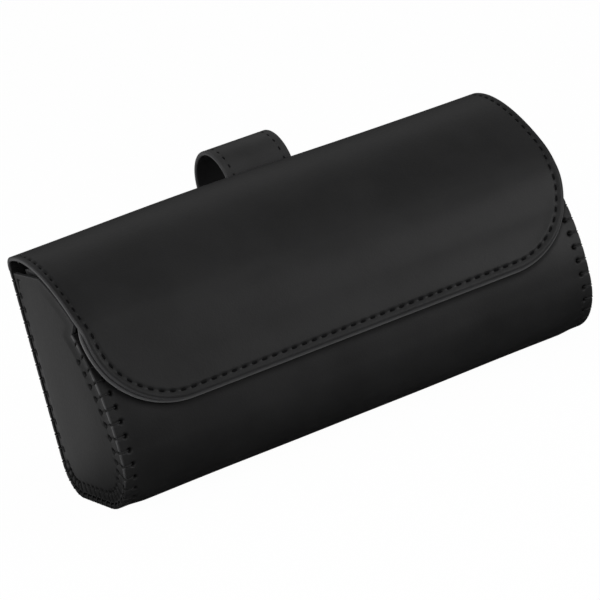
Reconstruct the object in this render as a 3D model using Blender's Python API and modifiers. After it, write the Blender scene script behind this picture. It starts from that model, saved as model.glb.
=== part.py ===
"""Leather spectacle case: a sewn body with a curved flap, and a strap loop on its back.

X runs along the case, -Y is the front and +Z is up. The origin is the centre of the flat bottom.
All lengths are in metres. Sections are drawn in the end plane as (forward, up), where forward is
measured from the back plane towards the front.
"""
import bpy
import bmesh
import math
from mathutils import Matrix, Vector

# Overall sizes of the body
LENGTH = 0.170
DEPTH = 0.050
BACK_HEIGHT = 0.0778

# Section of the body
FRONT_RADIUS = 0.055
FRONT_FULL_HEIGHT = 0.022
FRONT_CORNER_RADIUS = 0.020
BACK_CORNER_RADIUS = 0.0105
MOUTH_DROP = 0.0204

# Plies, and the clearance between pieces that lie together
LEATHER = 0.0014
BOARD = 0.0012
LINING = 0.0008
FLAP_LINING = 0.0016
GAP = 0.0003

# Whipped end seams, whose hide dips at the rim so that the thread lies below the surface
THREAD_RADIUS = 0.0003
THREAD_LIFT = 0.00009
THREAD_SINK = 0.00006
STITCH_PITCH = 0.0045
STITCH_EASE = 0.0002
WRAP_HOLE_INSET = 0.0032
GUSSET_HOLE_REACH = 0.0031
SEAM_END_MARGIN = 0.003
BOARD_SEAM_MARGIN = 0.0012
RIM_MARGIN = 0.0003
RIM_SLOPE = 0.003
GUSSET_SETBACK = 0.0008

# Flap
FOLD_RADIUS = 0.0032
FOLD_CLEARANCE = 0.0018
FLAP_GAP = 0.0004
FLAP_RISE = math.radians(12)
CROWN_BACK_PULL = 0.44
CROWN_FRONT_PULL = 0.10
SHOULDER_RISE = 0.0028
SHOULDER_OVERLAP = math.radians(2.2)
SHOULDER_PULL = 0.35
LANDING_PULL = 0.30
LANDING_OVERLAP = math.radians(18.4)
FLAP_OVERLAP = math.radians(31.9)
FLAP_CORNER_RADIUS = 0.0268
FLAP_LINING_START = 0.0025
GUSSET_CLEARANCE = 0.0008
GUSSET_TOP_MARGIN = math.radians(3)

# Hidden magnetic closure
MAGNET_RADIUS = 0.005
MAGNET_THICKNESS = 0.0008
MAGNET_SEAT = 0.0002
MAGNET_SPREAD = 0.045
MAGNET_OVERLAP = math.radians(23.5)

# Strap loop on the back
STRAP_WIDTH = 0.0237
STRAP_CENTRE = 0.0061
STRAP_THICKNESS = 0.0018
STRAP_FOOT_MARGIN = 0.0015
ARCH_RADIUS = 0.0114
ARCH_DROP = 0.0002
TAIL_DROP = 0.0016
TAIL_BEND = 0.022
TAIL_BEND_REACH = 0.014
TAIL_SHORT = 0.0005

# Press stud that closes the loop
STUD_FROM_FOOT = 0.009
STUD_TO_BEND = 0.009
STUD_FLANGE_RADIUS = 0.004
STUD_FLANGE = 0.0005
POST_FLANGE = 0.0004
POST_SHORT = 0.0001
STUD_BALL_RADIUS = 0.0026
STUD_BALL_RISE = 0.0008
STUD_SOCKET_RADIUS = 0.0046
STUD_SOCKET_WEB = 0.0003
STUD_SHANK_RADIUS = 0.0014
STUD_CAP_RADIUS = 0.0052
STUD_CAP_RISE = 0.0015

# Smoothness of round stretches
FRONT_STEPS = 8
CORNER_STEPS = 7
CROWN_STEPS = 11
LANDING_STEPS = 6
FLAP_ARC_STEPS = 4
FLAP_CORNER_STEPS = 8
FOLD_STEPS = 6
ARCH_STEPS = 14
BEND_STEPS = 12
TIP_STEPS = 6
ROUND_SIDES = 24

# Reach of a cutter past a face, limits for welding and snapping points, and for a sharp corner of a strip
CUT_REACH = 0.0015
WELD = 0.00001
SNAP = 0.0000001
MITRE_LIMIT = 0.5

# Places worked out from the sizes above
END = LENGTH / 2
BACK_Y = (BACK_CORNER_RADIUS + DEPTH - FRONT_CORNER_RADIUS) / 2
FRONT_CENTRE = (DEPTH - FRONT_RADIUS, FRONT_FULL_HEIGHT)
MOUTH_ANGLE = math.asin((BACK_HEIGHT - MOUTH_DROP - FRONT_FULL_HEIGHT) / FRONT_RADIUS)
MAGNET_ANGLE = MOUTH_ANGLE - MAGNET_OVERLAP
FLAP_THICKNESS = LEATHER + GAP + FLAP_LINING
FLAP_RADIUS = FRONT_RADIUS + FLAP_GAP + FLAP_THICKNESS
STITCH_HOLE = THREAD_RADIUS + STITCH_EASE
RIM_DIP = 2 * THREAD_RADIUS + THREAD_LIFT + THREAD_SINK
RIM_WIDTH = WRAP_HOLE_INSET + STITCH_HOLE + RIM_MARGIN
FOLD_AXIS = (FOLD_RADIUS, BACK_HEIGHT - FOLD_RADIUS)
BACK_TOP = FOLD_AXIS[1] - FOLD_CLEARANCE
BOARD_INSET = LEATHER + GAP
LINING_INSET = BOARD_INSET + BOARD + GAP
GUSSET_INSET = RIM_DIP + LEATHER + GAP
GUSSET_FACE = END - GUSSET_SETBACK
GUSSET_BOARD_FACE = GUSSET_FACE - LEATHER - GAP
GUSSET_LINING_FACE = GUSSET_BOARD_FACE - BOARD - GAP
GUSSET_HOLE_INSET = GUSSET_INSET + GUSSET_HOLE_REACH
GUSSET_BOARD_INSET = GUSSET_HOLE_INSET + STITCH_HOLE + BOARD_SEAM_MARGIN
GUSSET_LINING_INSET = LINING_INSET + LINING + GAP
BOARD_END = END - RIM_WIDTH - RIM_SLOPE
ARCH_HEIGHT = BACK_TOP - ARCH_DROP
ARCH_LINE_RADIUS = ARCH_RADIUS + STRAP_THICKNESS / 2
STRAP_FRONT = -GAP - STRAP_THICKNESS / 2
STRAP_REAR = STRAP_FRONT - 2 * ARCH_LINE_RADIUS
STRAP_FOOT = BACK_CORNER_RADIUS + STRAP_FOOT_MARGIN
STUD_HEIGHT = STRAP_FOOT + STUD_FROM_FOOT
TAIL_AXIS = (STRAP_REAR, ARCH_HEIGHT - TAIL_DROP)
STUD_BASE = STRAP_FRONT - STRAP_THICKNESS / 2 - GAP
STUD_TOP = STUD_BASE - STUD_FLANGE - STUD_BALL_RISE
SOCKET_BASE = STUD_TOP - GAP - STUD_SOCKET_WEB
TAIL_SEAT = SOCKET_BASE - GAP - STRAP_THICKNESS / 2
STUD_BORE = STUD_SHANK_RADIUS + GAP

BLACK_LEATHER = ((0.018, 0.018, 0.019), 0.48, 0.0)
DARK_LINING = ((0.030, 0.030, 0.033), 0.9, 0.0)
BROWN_BOARD = ((0.150, 0.105, 0.070), 0.85, 0.0)
BLACK_THREAD = ((0.006, 0.006, 0.006), 0.7, 0.0)
BRIGHT_NICKEL = ((0.620, 0.610, 0.590), 0.22, 1.0)
DARK_STEEL = ((0.050, 0.050, 0.054), 0.35, 1.0)


def start_scene():
    """Clear the scene, and make one collection for the pieces and one for what cuts them."""
    for old in list(bpy.data.objects):
        bpy.data.objects.remove(old, do_unlink=True)
    collections = []
    for name in ("spectacle_case", "cutters"):
        collection = bpy.data.collections.new(name)
        bpy.context.scene.collection.children.link(collection)
        collections.append(collection)
    return collections


PIECES, CUTTERS = start_scene()


def finish(piece, look):
    """Put a piece in its collection with a material of its own."""
    PIECES.objects.link(piece)
    colour, roughness, metallic = look
    material = bpy.data.materials.new(piece.name)
    material.use_nodes = True
    shader = material.node_tree.nodes["Principled BSDF"]
    shader.inputs["Base Color"].default_value = (*colour, 1.0)
    shader.inputs["Roughness"].default_value = roughness
    shader.inputs["Metallic"].default_value = metallic
    piece.data.materials.clear()
    piece.data.materials.append(material)
    return piece


def place(x, forward, up):
    """A point of the end plane, taken to its place along the case."""
    return Vector((x, BACK_Y - forward, up))


def mesh_object(name, shape):
    """Make an object of a bmesh and free the bmesh."""
    mesh = bpy.data.meshes.new(name)
    shape.to_mesh(mesh)
    shape.free()
    return bpy.data.objects.new(name, mesh)


def prism(name, outline, x_low, x_high):
    """A section drawn in the end plane, extruded along the case, as a welded mesh."""
    curve = bpy.data.curves.new(name, "CURVE")
    curve.dimensions = "2D"
    curve.fill_mode = "BOTH"
    curve.extrude = (x_high - x_low) / 2
    spline = curve.splines.new("POLY")
    spline.points.add(len(outline) - 1)
    for point, (forward, up) in zip(spline.points, outline):
        point.co = (-forward, up, 0.0, 1.0)
    spline.use_cyclic_u = True
    drawn = bpy.data.objects.new(name + "_outline", curve)
    drawn.rotation_euler = (math.pi / 2, 0.0, math.pi / 2)
    drawn.location = ((x_low + x_high) / 2, BACK_Y, 0.0)
    bpy.context.scene.collection.objects.link(drawn)
    bpy.context.view_layer.update()
    evaluated = drawn.evaluated_get(bpy.context.evaluated_depsgraph_get())
    mesh = bpy.data.meshes.new_from_object(evaluated)
    shape = bmesh.new()
    shape.from_mesh(mesh)
    shape.transform(drawn.matrix_world)
    bmesh.ops.remove_doubles(shape, verts=shape.verts, dist=WELD)
    bmesh.ops.recalc_face_normals(shape, faces=shape.faces)
    bpy.data.objects.remove(drawn, do_unlink=True)
    bpy.data.meshes.remove(mesh)
    return mesh_object(name, shape)


def cut(piece, cutter):
    """Take a cutter out of a piece with a Boolean modifier."""
    CUTTERS.objects.link(cutter)
    cutter.hide_render = True
    cutter.display_type = "WIRE"
    modifier = piece.modifiers.new("cut", "BOOLEAN")
    modifier.operation = "DIFFERENCE"
    modifier.object = cutter


def arc(centre, radius, start, end, steps):
    """Points of an arc in the end plane, with angles measured up from straight ahead."""
    points = []
    for step in range(steps + 1):
        angle = start + (end - start) * step / steps
        points.append((centre[0] + radius * math.cos(angle), centre[1] + radius * math.sin(angle)))
    return points


def wrap_path(inset):
    """The wrap from the mouth, down the front, under the bottom and up the back, some way in."""
    front = arc(FRONT_CENTRE, FRONT_RADIUS - inset, MOUTH_ANGLE, 0.0, FRONT_STEPS)
    toe = arc((DEPTH - FRONT_CORNER_RADIUS, FRONT_CORNER_RADIUS), FRONT_CORNER_RADIUS - inset,
              0.0, -math.pi / 2, CORNER_STEPS)
    heel = arc((BACK_CORNER_RADIUS, BACK_CORNER_RADIUS), BACK_CORNER_RADIUS - inset,
               -math.pi / 2, -math.pi, CORNER_STEPS)
    return front + toe + heel + [(inset, BACK_TOP)]


def front_point(radius, angle):
    """A point round the centre of the front wall's curve, with the normal there."""
    normal = Vector((math.cos(angle), math.sin(angle)))
    return Vector(FRONT_CENTRE) + radius * normal, normal


def flap_line():
    """The flap's outer face from the fold over a shoulder to its edge, as points with outward normals."""
    rise = Vector((math.cos(FLAP_RISE), math.sin(FLAP_RISE)))
    fold_end = Vector(FOLD_AXIS) + FOLD_RADIUS * Vector((-rise.y, rise.x))
    shoulder, shoulder_normal = front_point(FLAP_RADIUS + SHOULDER_RISE, MOUTH_ANGLE - SHOULDER_OVERLAP)
    landing, landing_normal = front_point(FLAP_RADIUS, MOUTH_ANGLE - LANDING_OVERLAP)
    down_shoulder = Vector((shoulder_normal.y, -shoulder_normal.x))
    down_landing = Vector((landing_normal.y, -landing_normal.x))
    crown = curve_handles(fold_end, rise, CROWN_BACK_PULL, shoulder, down_shoulder, CROWN_FRONT_PULL)
    slope = curve_handles(shoulder, down_shoulder, SHOULDER_PULL, landing, down_landing, LANDING_PULL)
    line = [bezier(crown, step / CROWN_STEPS) for step in range(CROWN_STEPS + 1)]
    line += [bezier(slope, step / LANDING_STEPS) for step in range(1, LANDING_STEPS + 1)]
    for step in range(1, FLAP_ARC_STEPS + 1):
        overlap = LANDING_OVERLAP + (FLAP_OVERLAP - LANDING_OVERLAP) * step / FLAP_ARC_STEPS
        line.append(front_point(FLAP_RADIUS, MOUTH_ANGLE - overlap))
    return line


def curve_handles(start, start_way, start_pull, end, end_way, end_pull):
    """The four handles of a cubic curve, from its ends, its directions there and its pulls on the chord."""
    chord = (end - start).length
    return start, start + chord * start_pull * start_way, end - chord * end_pull * end_way, end


def bezier(handles, t):
    """A point of a cubic curve in the end plane, with the normal on its left-hand side."""
    a, b, c, d = handles
    s = 1.0 - t
    point = s ** 3 * a + 3 * s * s * t * b + 3 * s * t * t * c + t ** 3 * d
    way = s * s * (b - a) + 2 * s * t * (c - b) + t * t * (d - c)
    way.normalize()
    return point, Vector((-way.y, way.x))


FLAP_LINE = flap_line()


def flap_stations():
    """Distance of each point of the flap's line from the fold."""
    stations = [0.0]
    for (here, _), (there, _) in zip(FLAP_LINE, FLAP_LINE[1:]):
        stations.append(stations[-1] + (there - here).length)
    return stations


FLAP_STATIONS = flap_stations()
FLAP_REACH = FLAP_STATIONS[-1]


def flap_place(x, distance, rise):
    """A point of the flap: along the case, down from the fold and out from the outer face."""
    index = 0
    while index < len(FLAP_STATIONS) - 2 and distance > FLAP_STATIONS[index + 1]:
        index += 1
    share = (distance - FLAP_STATIONS[index]) / (FLAP_STATIONS[index + 1] - FLAP_STATIONS[index])
    here, here_normal = FLAP_LINE[index]
    there, there_normal = FLAP_LINE[index + 1]
    point = here.lerp(there, share) + rise * here_normal.lerp(there_normal, share)
    return place(x, point.x, point.y)


def flap_ply(name, start, outer, thickness):
    """One ply of the flap: a flat outline with round lower corners, cut in strips and bent to the line."""
    corner = FLAP_CORNER_RADIUS
    outline = [(-END, start), (END, start)]
    outline += arc((END - corner, FLAP_REACH - corner), corner, 0.0, math.pi / 2, FLAP_CORNER_STEPS)
    outline += arc((corner - END, FLAP_REACH - corner), corner, math.pi / 2, math.pi, FLAP_CORNER_STEPS)
    shape = bmesh.new()
    face = shape.faces.new([shape.verts.new((x, s, -outer)) for x, s in outline])
    grown = bmesh.ops.extrude_face_region(shape, geom=[face])["geom"]
    lower = [item for item in grown if isinstance(item, bmesh.types.BMVert)]
    bmesh.ops.translate(shape, verts=lower, vec=(0.0, 0.0, -thickness))
    for station in FLAP_STATIONS[1:-1]:
        if station > start:
            everything = list(shape.verts) + list(shape.edges) + list(shape.faces)
            bmesh.ops.bisect_plane(shape, geom=everything, dist=SNAP, plane_co=(0.0, station, 0.0),
                                   plane_no=(0.0, 1.0, 0.0))
    bmesh.ops.recalc_face_normals(shape, faces=shape.faces)
    for vert in shape.verts:
        vert.co = flap_place(*vert.co)
    bmesh.ops.reverse_faces(shape, faces=shape.faces)
    return mesh_object(name, shape)


def disc(name, centre, normal, radius, thickness):
    """A round plate centred on a point and facing along a normal of the end plane."""
    shape = bmesh.new()
    bmesh.ops.create_cone(shape, cap_ends=True, segments=ROUND_SIDES, radius1=radius, radius2=radius,
                          depth=thickness)
    facing = Vector((0.0, -normal.x, normal.y)).to_track_quat("Z", "X").to_matrix().to_4x4()
    shape.transform(Matrix.Translation(centre) @ facing)
    return mesh_object(name, shape)


def seam_stations():
    """Where each stitch sits on the wrap's path: the index of a run and the share along it."""
    path = [Vector(point) for point in wrap_path(0.0)]
    lengths = [(there - here).length for here, there in zip(path, path[1:])]
    usable = sum(lengths) - 2 * SEAM_END_MARGIN
    count = round(usable / STITCH_PITCH) + 1
    stations = []
    for stitch in range(count):
        distance = SEAM_END_MARGIN + usable * stitch / (count - 1)
        run = 0
        while distance > lengths[run]:
            distance -= lengths[run]
            run += 1
        stations.append((run, distance / lengths[run]))
    return stations


def seam_point(station, inset):
    """The point of a stitch station at some depth inside the wrap's outer face."""
    run, share = station
    path = wrap_path(inset)
    return Vector(path[run]).lerp(Vector(path[run + 1]), share)


SEAM = seam_stations()


def awl_holes(name, rows):
    """Four-sided holes as one cutter: each row gives a hole's two end points and a sideways vector."""
    shape = bmesh.new()
    for low, high, side in rows:
        across = (high - low).normalized().cross(side).normalized()
        corners = [side * STITCH_HOLE, across * STITCH_HOLE, -side * STITCH_HOLE, -across * STITCH_HOLE]
        face = shape.faces.new([shape.verts.new(low + corner) for corner in corners])
        grown = bmesh.ops.extrude_face_region(shape, geom=[face])["geom"]
        top = [item for item in grown if isinstance(item, bmesh.types.BMVert)]
        bmesh.ops.translate(shape, verts=top, vec=high - low)
    bmesh.ops.recalc_face_normals(shape, faces=shape.faces)
    return mesh_object(name, shape)


def make_outer_wrap():
    """Front wall, bottom and back in one hide, dipping a little at each sewn end."""
    rim = END - RIM_WIDTH
    flat = rim - RIM_SLOPE
    sections = [(-END, RIM_DIP), (-rim, RIM_DIP), (-flat, 0.0), (flat, 0.0), (rim, RIM_DIP), (END, RIM_DIP)]
    shape = bmesh.new()
    rows = []
    for x, inset in sections:
        rows.append([shape.verts.new(place(x, *point)) for point in wrap_path(inset)])
    for left, right in zip(rows, rows[1:]):
        for a, b, c, d in zip(left, left[1:], right[1:], right):
            shape.faces.new((a, b, c, d))
    wrap = mesh_object("outer_wrap", shape)
    hide = wrap.modifiers.new("hide", "SOLIDIFY")
    hide.thickness = LEATHER
    hide.offset = -1.0
    hide.use_even_offset = True
    along = Vector((1.0, 0.0, 0.0))
    rows = []
    for side in (-1, 1):
        x = side * (END - WRAP_HOLE_INSET)
        for station in SEAM:
            outside = place(x, *seam_point(station, RIM_DIP - CUT_REACH))
            inside = place(x, *seam_point(station, RIM_DIP + LEATHER + CUT_REACH))
            rows.append((outside, inside, along))
    cut(wrap, awl_holes("wrap_stitch_holes", rows))
    return finish(wrap, BLACK_LEATHER)


def gusset_outline(inset, drop):
    """An end panel some way inside the wrap, whose top follows the flap at a distance."""
    outline = wrap_path(inset)
    outline[-1] = (inset, BACK_TOP - drop)
    below = FLAP_THICKNESS + GUSSET_CLEARANCE + drop
    back_top = BACK_TOP - drop
    top = []
    for point, normal in FLAP_LINE:
        under = point - below * normal
        ray = under - Vector(FRONT_CENTRE)
        if under.y >= back_top:
            last_high = under
        elif math.atan2(ray.y, ray.x) > MOUTH_ANGLE + GUSSET_TOP_MARGIN:
            top.append(under)
    meets = last_high.lerp(top[0], (last_high.y - back_top) / (last_high.y - top[0].y))
    return outline + [tuple(point) for point in [meets] + top]


def make_gusset(name, side):
    """An end panel of leather with the inner row of stitch holes."""
    outer = side * GUSSET_FACE
    inner = side * (GUSSET_FACE - LEATHER)
    gusset = prism(name, gusset_outline(GUSSET_INSET, 0.0), min(outer, inner), max(outer, inner))
    rows = []
    for station in SEAM:
        point = seam_point(station, GUSSET_HOLE_INSET)
        below = seam_point(station, GUSSET_HOLE_INSET + CUT_REACH) - point
        low = place(inner - side * CUT_REACH, *point)
        high = place(outer + side * CUT_REACH, *point)
        rows.append((low, high, Vector((0.0, -below.x, below.y)).normalized()))
    cut(gusset, awl_holes(name + "_stitch_holes", rows))
    return finish(gusset, BLACK_LEATHER)


def make_seam_thread(name, side):
    """One thread whipped over the end seam: out of the hide, over its edge and in through the gusset."""
    lift = THREAD_RADIUS + THREAD_LIFT
    edge = END + lift
    skin = RIM_DIP - lift
    under = RIM_DIP + LEATHER + lift
    gusset_out = GUSSET_FACE + lift
    gusset_in = GUSSET_FACE - LEATHER - lift
    turn = lift / 2
    hole = END - WRAP_HOLE_INSET
    stitch = [(hole, under), (hole, skin), (END + turn, skin), (edge, RIM_DIP - turn),
              (edge, RIM_DIP + LEATHER), (gusset_out, GUSSET_HOLE_INSET - lift),
              (gusset_out, GUSSET_HOLE_INSET), (gusset_in, GUSSET_HOLE_INSET)]
    curve = bpy.data.curves.new(name, "CURVE")
    curve.dimensions = "3D"
    curve.bevel_depth = THREAD_RADIUS
    curve.bevel_resolution = 0
    curve.use_fill_caps = True
    spline = curve.splines.new("POLY")
    spline.points.add(len(SEAM) * len(stitch) - 1)
    index = 0
    for station in SEAM:
        for x, inset in stitch:
            spline.points[index].co = (*place(side * x, *seam_point(station, inset)), 1.0)
            index += 1
    return finish(bpy.data.objects.new(name, curve), BLACK_THREAD)


def make_body_layers():
    """Boards and linings inside the wrap and the gussets."""
    board = prism("wrap_board", wrap_path(BOARD_INSET) + wrap_path(BOARD_INSET + BOARD)[::-1],
                  -BOARD_END, BOARD_END)
    finish(board, BROWN_BOARD)
    lining_end = GUSSET_LINING_FACE
    lining = prism("wrap_lining", wrap_path(LINING_INSET) + wrap_path(LINING_INSET + LINING)[::-1],
                   -lining_end, lining_end)
    finish(lining, DARK_LINING)
    for word, side in (("left", -1), ("right", 1)):
        for kind, face, thickness, inset, drop, look in (
                ("board", GUSSET_BOARD_FACE, BOARD, GUSSET_BOARD_INSET, BOARD_SEAM_MARGIN, BROWN_BOARD),
                ("lining", GUSSET_LINING_FACE, LINING, GUSSET_LINING_INSET, 0.0, DARK_LINING)):
            outer = side * face
            inner = side * (face - thickness)
            panel = prism(f"{word}_gusset_{kind}", gusset_outline(inset, drop),
                          min(outer, inner), max(outer, inner))
            finish(panel, look)
    return board


def make_keepers(board):
    """Two steel discs in holes of the front board, opposite the magnets in the flap."""
    middle, normal = front_point(FRONT_RADIUS - BOARD_INSET - BOARD / 2, MAGNET_ANGLE)
    for word, side in (("left", -1), ("right", 1)):
        spot = place(side * MAGNET_SPREAD, *middle)
        finish(disc(f"{word}_keeper", spot, normal, MAGNET_RADIUS, MAGNET_THICKNESS), DARK_STEEL)
        hole = disc(f"{word}_keeper_hole", spot, normal, MAGNET_RADIUS + GAP, BOARD + 2 * CUT_REACH)
        cut(board, hole)


def make_flap():
    """Fold, leather, lining and magnets of the flap, all turning about the fold's axis."""
    fold_end = math.pi / 2 + FLAP_RISE + GAP / FOLD_RADIUS
    outer = [(0.0, BACK_TOP + GAP)] + arc(FOLD_AXIS, FOLD_RADIUS, math.pi, fold_end, FOLD_STEPS)
    inner = [(LEATHER, BACK_TOP + GAP)] + arc(FOLD_AXIS, FOLD_RADIUS - LEATHER, math.pi, fold_end, FOLD_STEPS)
    fold = finish(prism("flap_fold", outer + inner[::-1], -END, END), BLACK_LEATHER)
    leather = finish(flap_ply("flap_leather", 0.0, 0.0, LEATHER), BLACK_LEATHER)
    lining = flap_ply("flap_lining", FLAP_LINING_START, LEATHER + GAP, FLAP_LINING)
    finish(lining, DARK_LINING)
    depth = LEATHER + GAP + MAGNET_SEAT + MAGNET_THICKNESS / 2
    middle, normal = front_point(FLAP_RADIUS - depth, MAGNET_ANGLE)
    rise = place(0.0, *normal) - place(0.0, 0.0, 0.0)
    moving = [leather, lining, fold]
    for word, side in (("left", -1), ("right", 1)):
        spot = place(side * MAGNET_SPREAD, *middle)
        magnet = disc(f"{word}_magnet", spot, normal, MAGNET_RADIUS, MAGNET_THICKNESS)
        moving.append(finish(magnet, BRIGHT_NICKEL))
        pocket = disc(f"{word}_magnet_pocket", spot + rise * CUT_REACH / 2, normal, MAGNET_RADIUS + GAP,
                      MAGNET_THICKNESS + 2 * GAP + CUT_REACH)
        cut(lining, pocket)
    hang("flap_axis", place(0.0, *FOLD_AXIS), moving)


def hang(name, point, pieces):
    """Parent moving pieces to an empty on their joint's axis."""
    axis = bpy.data.objects.new(name, None)
    axis.location = point
    PIECES.objects.link(axis)
    bpy.context.view_layer.update()
    for piece in pieces:
        piece.parent = axis
        piece.matrix_parent_inverse = axis.matrix_world.inverted()


def ribbon(line, half):
    """The outline of a strip of even thickness along a line of points in the end plane."""
    left = []
    right = []
    for index, point in enumerate(line):
        before = line[max(index - 1, 0)]
        after = line[min(index + 1, len(line) - 1)]
        into = (point - before).normalized() if index > 0 else (after - point).normalized()
        out = (after - point).normalized() if index < len(line) - 1 else into
        way = (into + out).normalized()
        normal = Vector((-way.y, way.x)) / max(way.dot(into), MITRE_LIMIT)
        left.append(tuple(point + half * normal))
        right.append(tuple(point - half * normal))
    return left, right


def stud_spot(forward):
    """A point on the press stud's axis."""
    return place(STRAP_CENTRE, forward, STUD_HEIGHT)


def make_strap():
    """The loop: a sewn front leg with the arch, and a tail that swings open about the arch's far end."""
    half = STRAP_THICKNESS / 2
    x_low = STRAP_CENTRE - STRAP_WIDTH / 2
    x_high = STRAP_CENTRE + STRAP_WIDTH / 2
    arch_centre = ((STRAP_FRONT + STRAP_REAR) / 2, ARCH_HEIGHT)
    arch = arc(arch_centre, ARCH_LINE_RADIUS, 0.0, math.pi, ARCH_STEPS)
    line = [(STRAP_FRONT, STRAP_FOOT)] + arch + [(STRAP_REAR, TAIL_AXIS[1] + half + GAP)]
    left, right = ribbon([Vector(point) for point in line], half)
    anchor = prism("strap_anchor", left + right[::-1], x_low, x_high)
    low = Vector((TAIL_SEAT, STUD_HEIGHT + STUD_TO_BEND))
    top = Vector((STRAP_REAR, low.y + TAIL_BEND))
    drop = Vector((0.0, -TAIL_BEND_REACH))
    handles = (top, top + drop, low - drop, low)
    line = [Vector(TAIL_AXIS)]
    line += [bezier(handles, step / BEND_STEPS)[0] for step in range(BEND_STEPS + 1)]
    line.append(Vector((TAIL_SEAT, STRAP_FOOT + TAIL_SHORT)))
    left, right = ribbon(line, half)
    tip = arc(TAIL_AXIS, half, 0.0, math.pi, TIP_STEPS)
    tail = prism("strap_tail", left[1:] + right[:0:-1] + tip[::-1], x_low, x_high)
    axis = Vector((1.0, 0.0))
    post_seat = STRAP_FRONT + half - POST_FLANGE - GAP
    for strip in (anchor, tail):
        bore_reach = 2 * (BACK_Y - TAIL_SEAT)
        cut(strip, disc(strip.name + "_bore", stud_spot(0.0), axis, STUD_BORE, bore_reach))
    recess = stud_spot(post_seat + CUT_REACH / 2)
    cut(anchor, disc("post_recess", recess, axis, STUD_FLANGE_RADIUS + GAP, CUT_REACH))
    finish(anchor, BLACK_LEATHER)
    return finish(tail, BLACK_LEATHER)


def turned(name, profile, closed):
    """A piece turned about the press stud's axis, from radii against places forward, front first."""
    shape = bmesh.new()
    verts = [shape.verts.new((radius, 0.0, forward)) for radius, forward in profile]
    for here, there in zip(verts, verts[1:]):
        shape.edges.new((here, there))
    if closed:
        shape.edges.new((verts[-1], verts[0]))
    piece = mesh_object(name, shape)
    piece.rotation_euler = (math.pi / 2, 0.0, 0.0)
    piece.location = stud_spot(0.0)
    screw = piece.modifiers.new("turn", "SCREW")
    screw.steps = ROUND_SIDES
    screw.render_steps = ROUND_SIDES
    screw.use_merge_vertices = True
    screw.merge_threshold = WELD
    return finish(piece, BRIGHT_NICKEL)


def make_press_stud():
    """Post and stud on the sewn leg, socket and cap on the tail."""
    front = STRAP_FRONT + STRAP_THICKNESS / 2
    post_end = STUD_TOP + POST_SHORT
    turned("stud_post", [(0.0, front), (STUD_FLANGE_RADIUS, front), (STUD_FLANGE_RADIUS, front - POST_FLANGE),
                         (STUD_SHANK_RADIUS, front - POST_FLANGE), (STUD_SHANK_RADIUS, post_end),
                         (0.0, post_end)], False)
    neck = STUD_BASE - STUD_FLANGE
    chamfer = STUD_BALL_RISE / 2
    turned("stud_ball", [(STUD_BORE, STUD_BASE), (STUD_FLANGE_RADIUS, STUD_BASE), (STUD_FLANGE_RADIUS, neck),
                         (STUD_BALL_RADIUS, neck), (STUD_BALL_RADIUS, STUD_TOP + chamfer),
                         (STUD_BALL_RADIUS - chamfer, STUD_TOP), (STUD_BORE, STUD_TOP)], True)
    grip = STUD_BALL_RADIUS + GAP
    socket = turned("stud_socket", [(grip, neck - GAP), (STUD_SOCKET_RADIUS, neck - GAP),
                                    (STUD_SOCKET_RADIUS, SOCKET_BASE), (STUD_BORE, SOCKET_BASE),
                                    (STUD_BORE, SOCKET_BASE + STUD_SOCKET_WEB),
                                    (grip, SOCKET_BASE + STUD_SOCKET_WEB)], True)
    base = TAIL_SEAT - STRAP_THICKNESS / 2 - GAP
    profile = [(0.0, STUD_TOP - GAP), (STUD_SHANK_RADIUS, STUD_TOP - GAP), (STUD_SHANK_RADIUS, base),
               (STUD_CAP_RADIUS, base), (STUD_CAP_RADIUS, base - STUD_FLANGE)]
    for step in range(1, TIP_STEPS + 1):
        angle = math.pi / 2 * step / TIP_STEPS
        rise = STUD_FLANGE + (STUD_CAP_RISE - STUD_FLANGE) * math.sin(angle)
        radius = STUD_CAP_RADIUS * math.cos(angle) if step < TIP_STEPS else 0.0
        profile.append((radius, base - rise))
    return socket, turned("stud_cap", profile, False)


make_outer_wrap()
for WORD, SIDE in (("left", -1), ("right", 1)):
    make_gusset(WORD + "_gusset", SIDE)
    make_seam_thread(WORD + "_seam_thread", SIDE)
make_keepers(make_body_layers())
make_flap()
TAIL = make_strap()
hang("tail_axis", place(0.0, *TAIL_AXIS), [TAIL, *make_press_stud()])
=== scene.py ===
# %% [markdown]
# # A leather spectacle case
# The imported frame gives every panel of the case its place. This lesson dresses it: each ply of leather
# is cut flat, gets rounded edges and stitch marks, and is then bent onto the section of the case, the way
# a case maker works. All lengths are in metres.

# %% Load the frame
import math
import bmesh
import bpy
import numpy as np
from mathutils import Matrix, Vector


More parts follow.
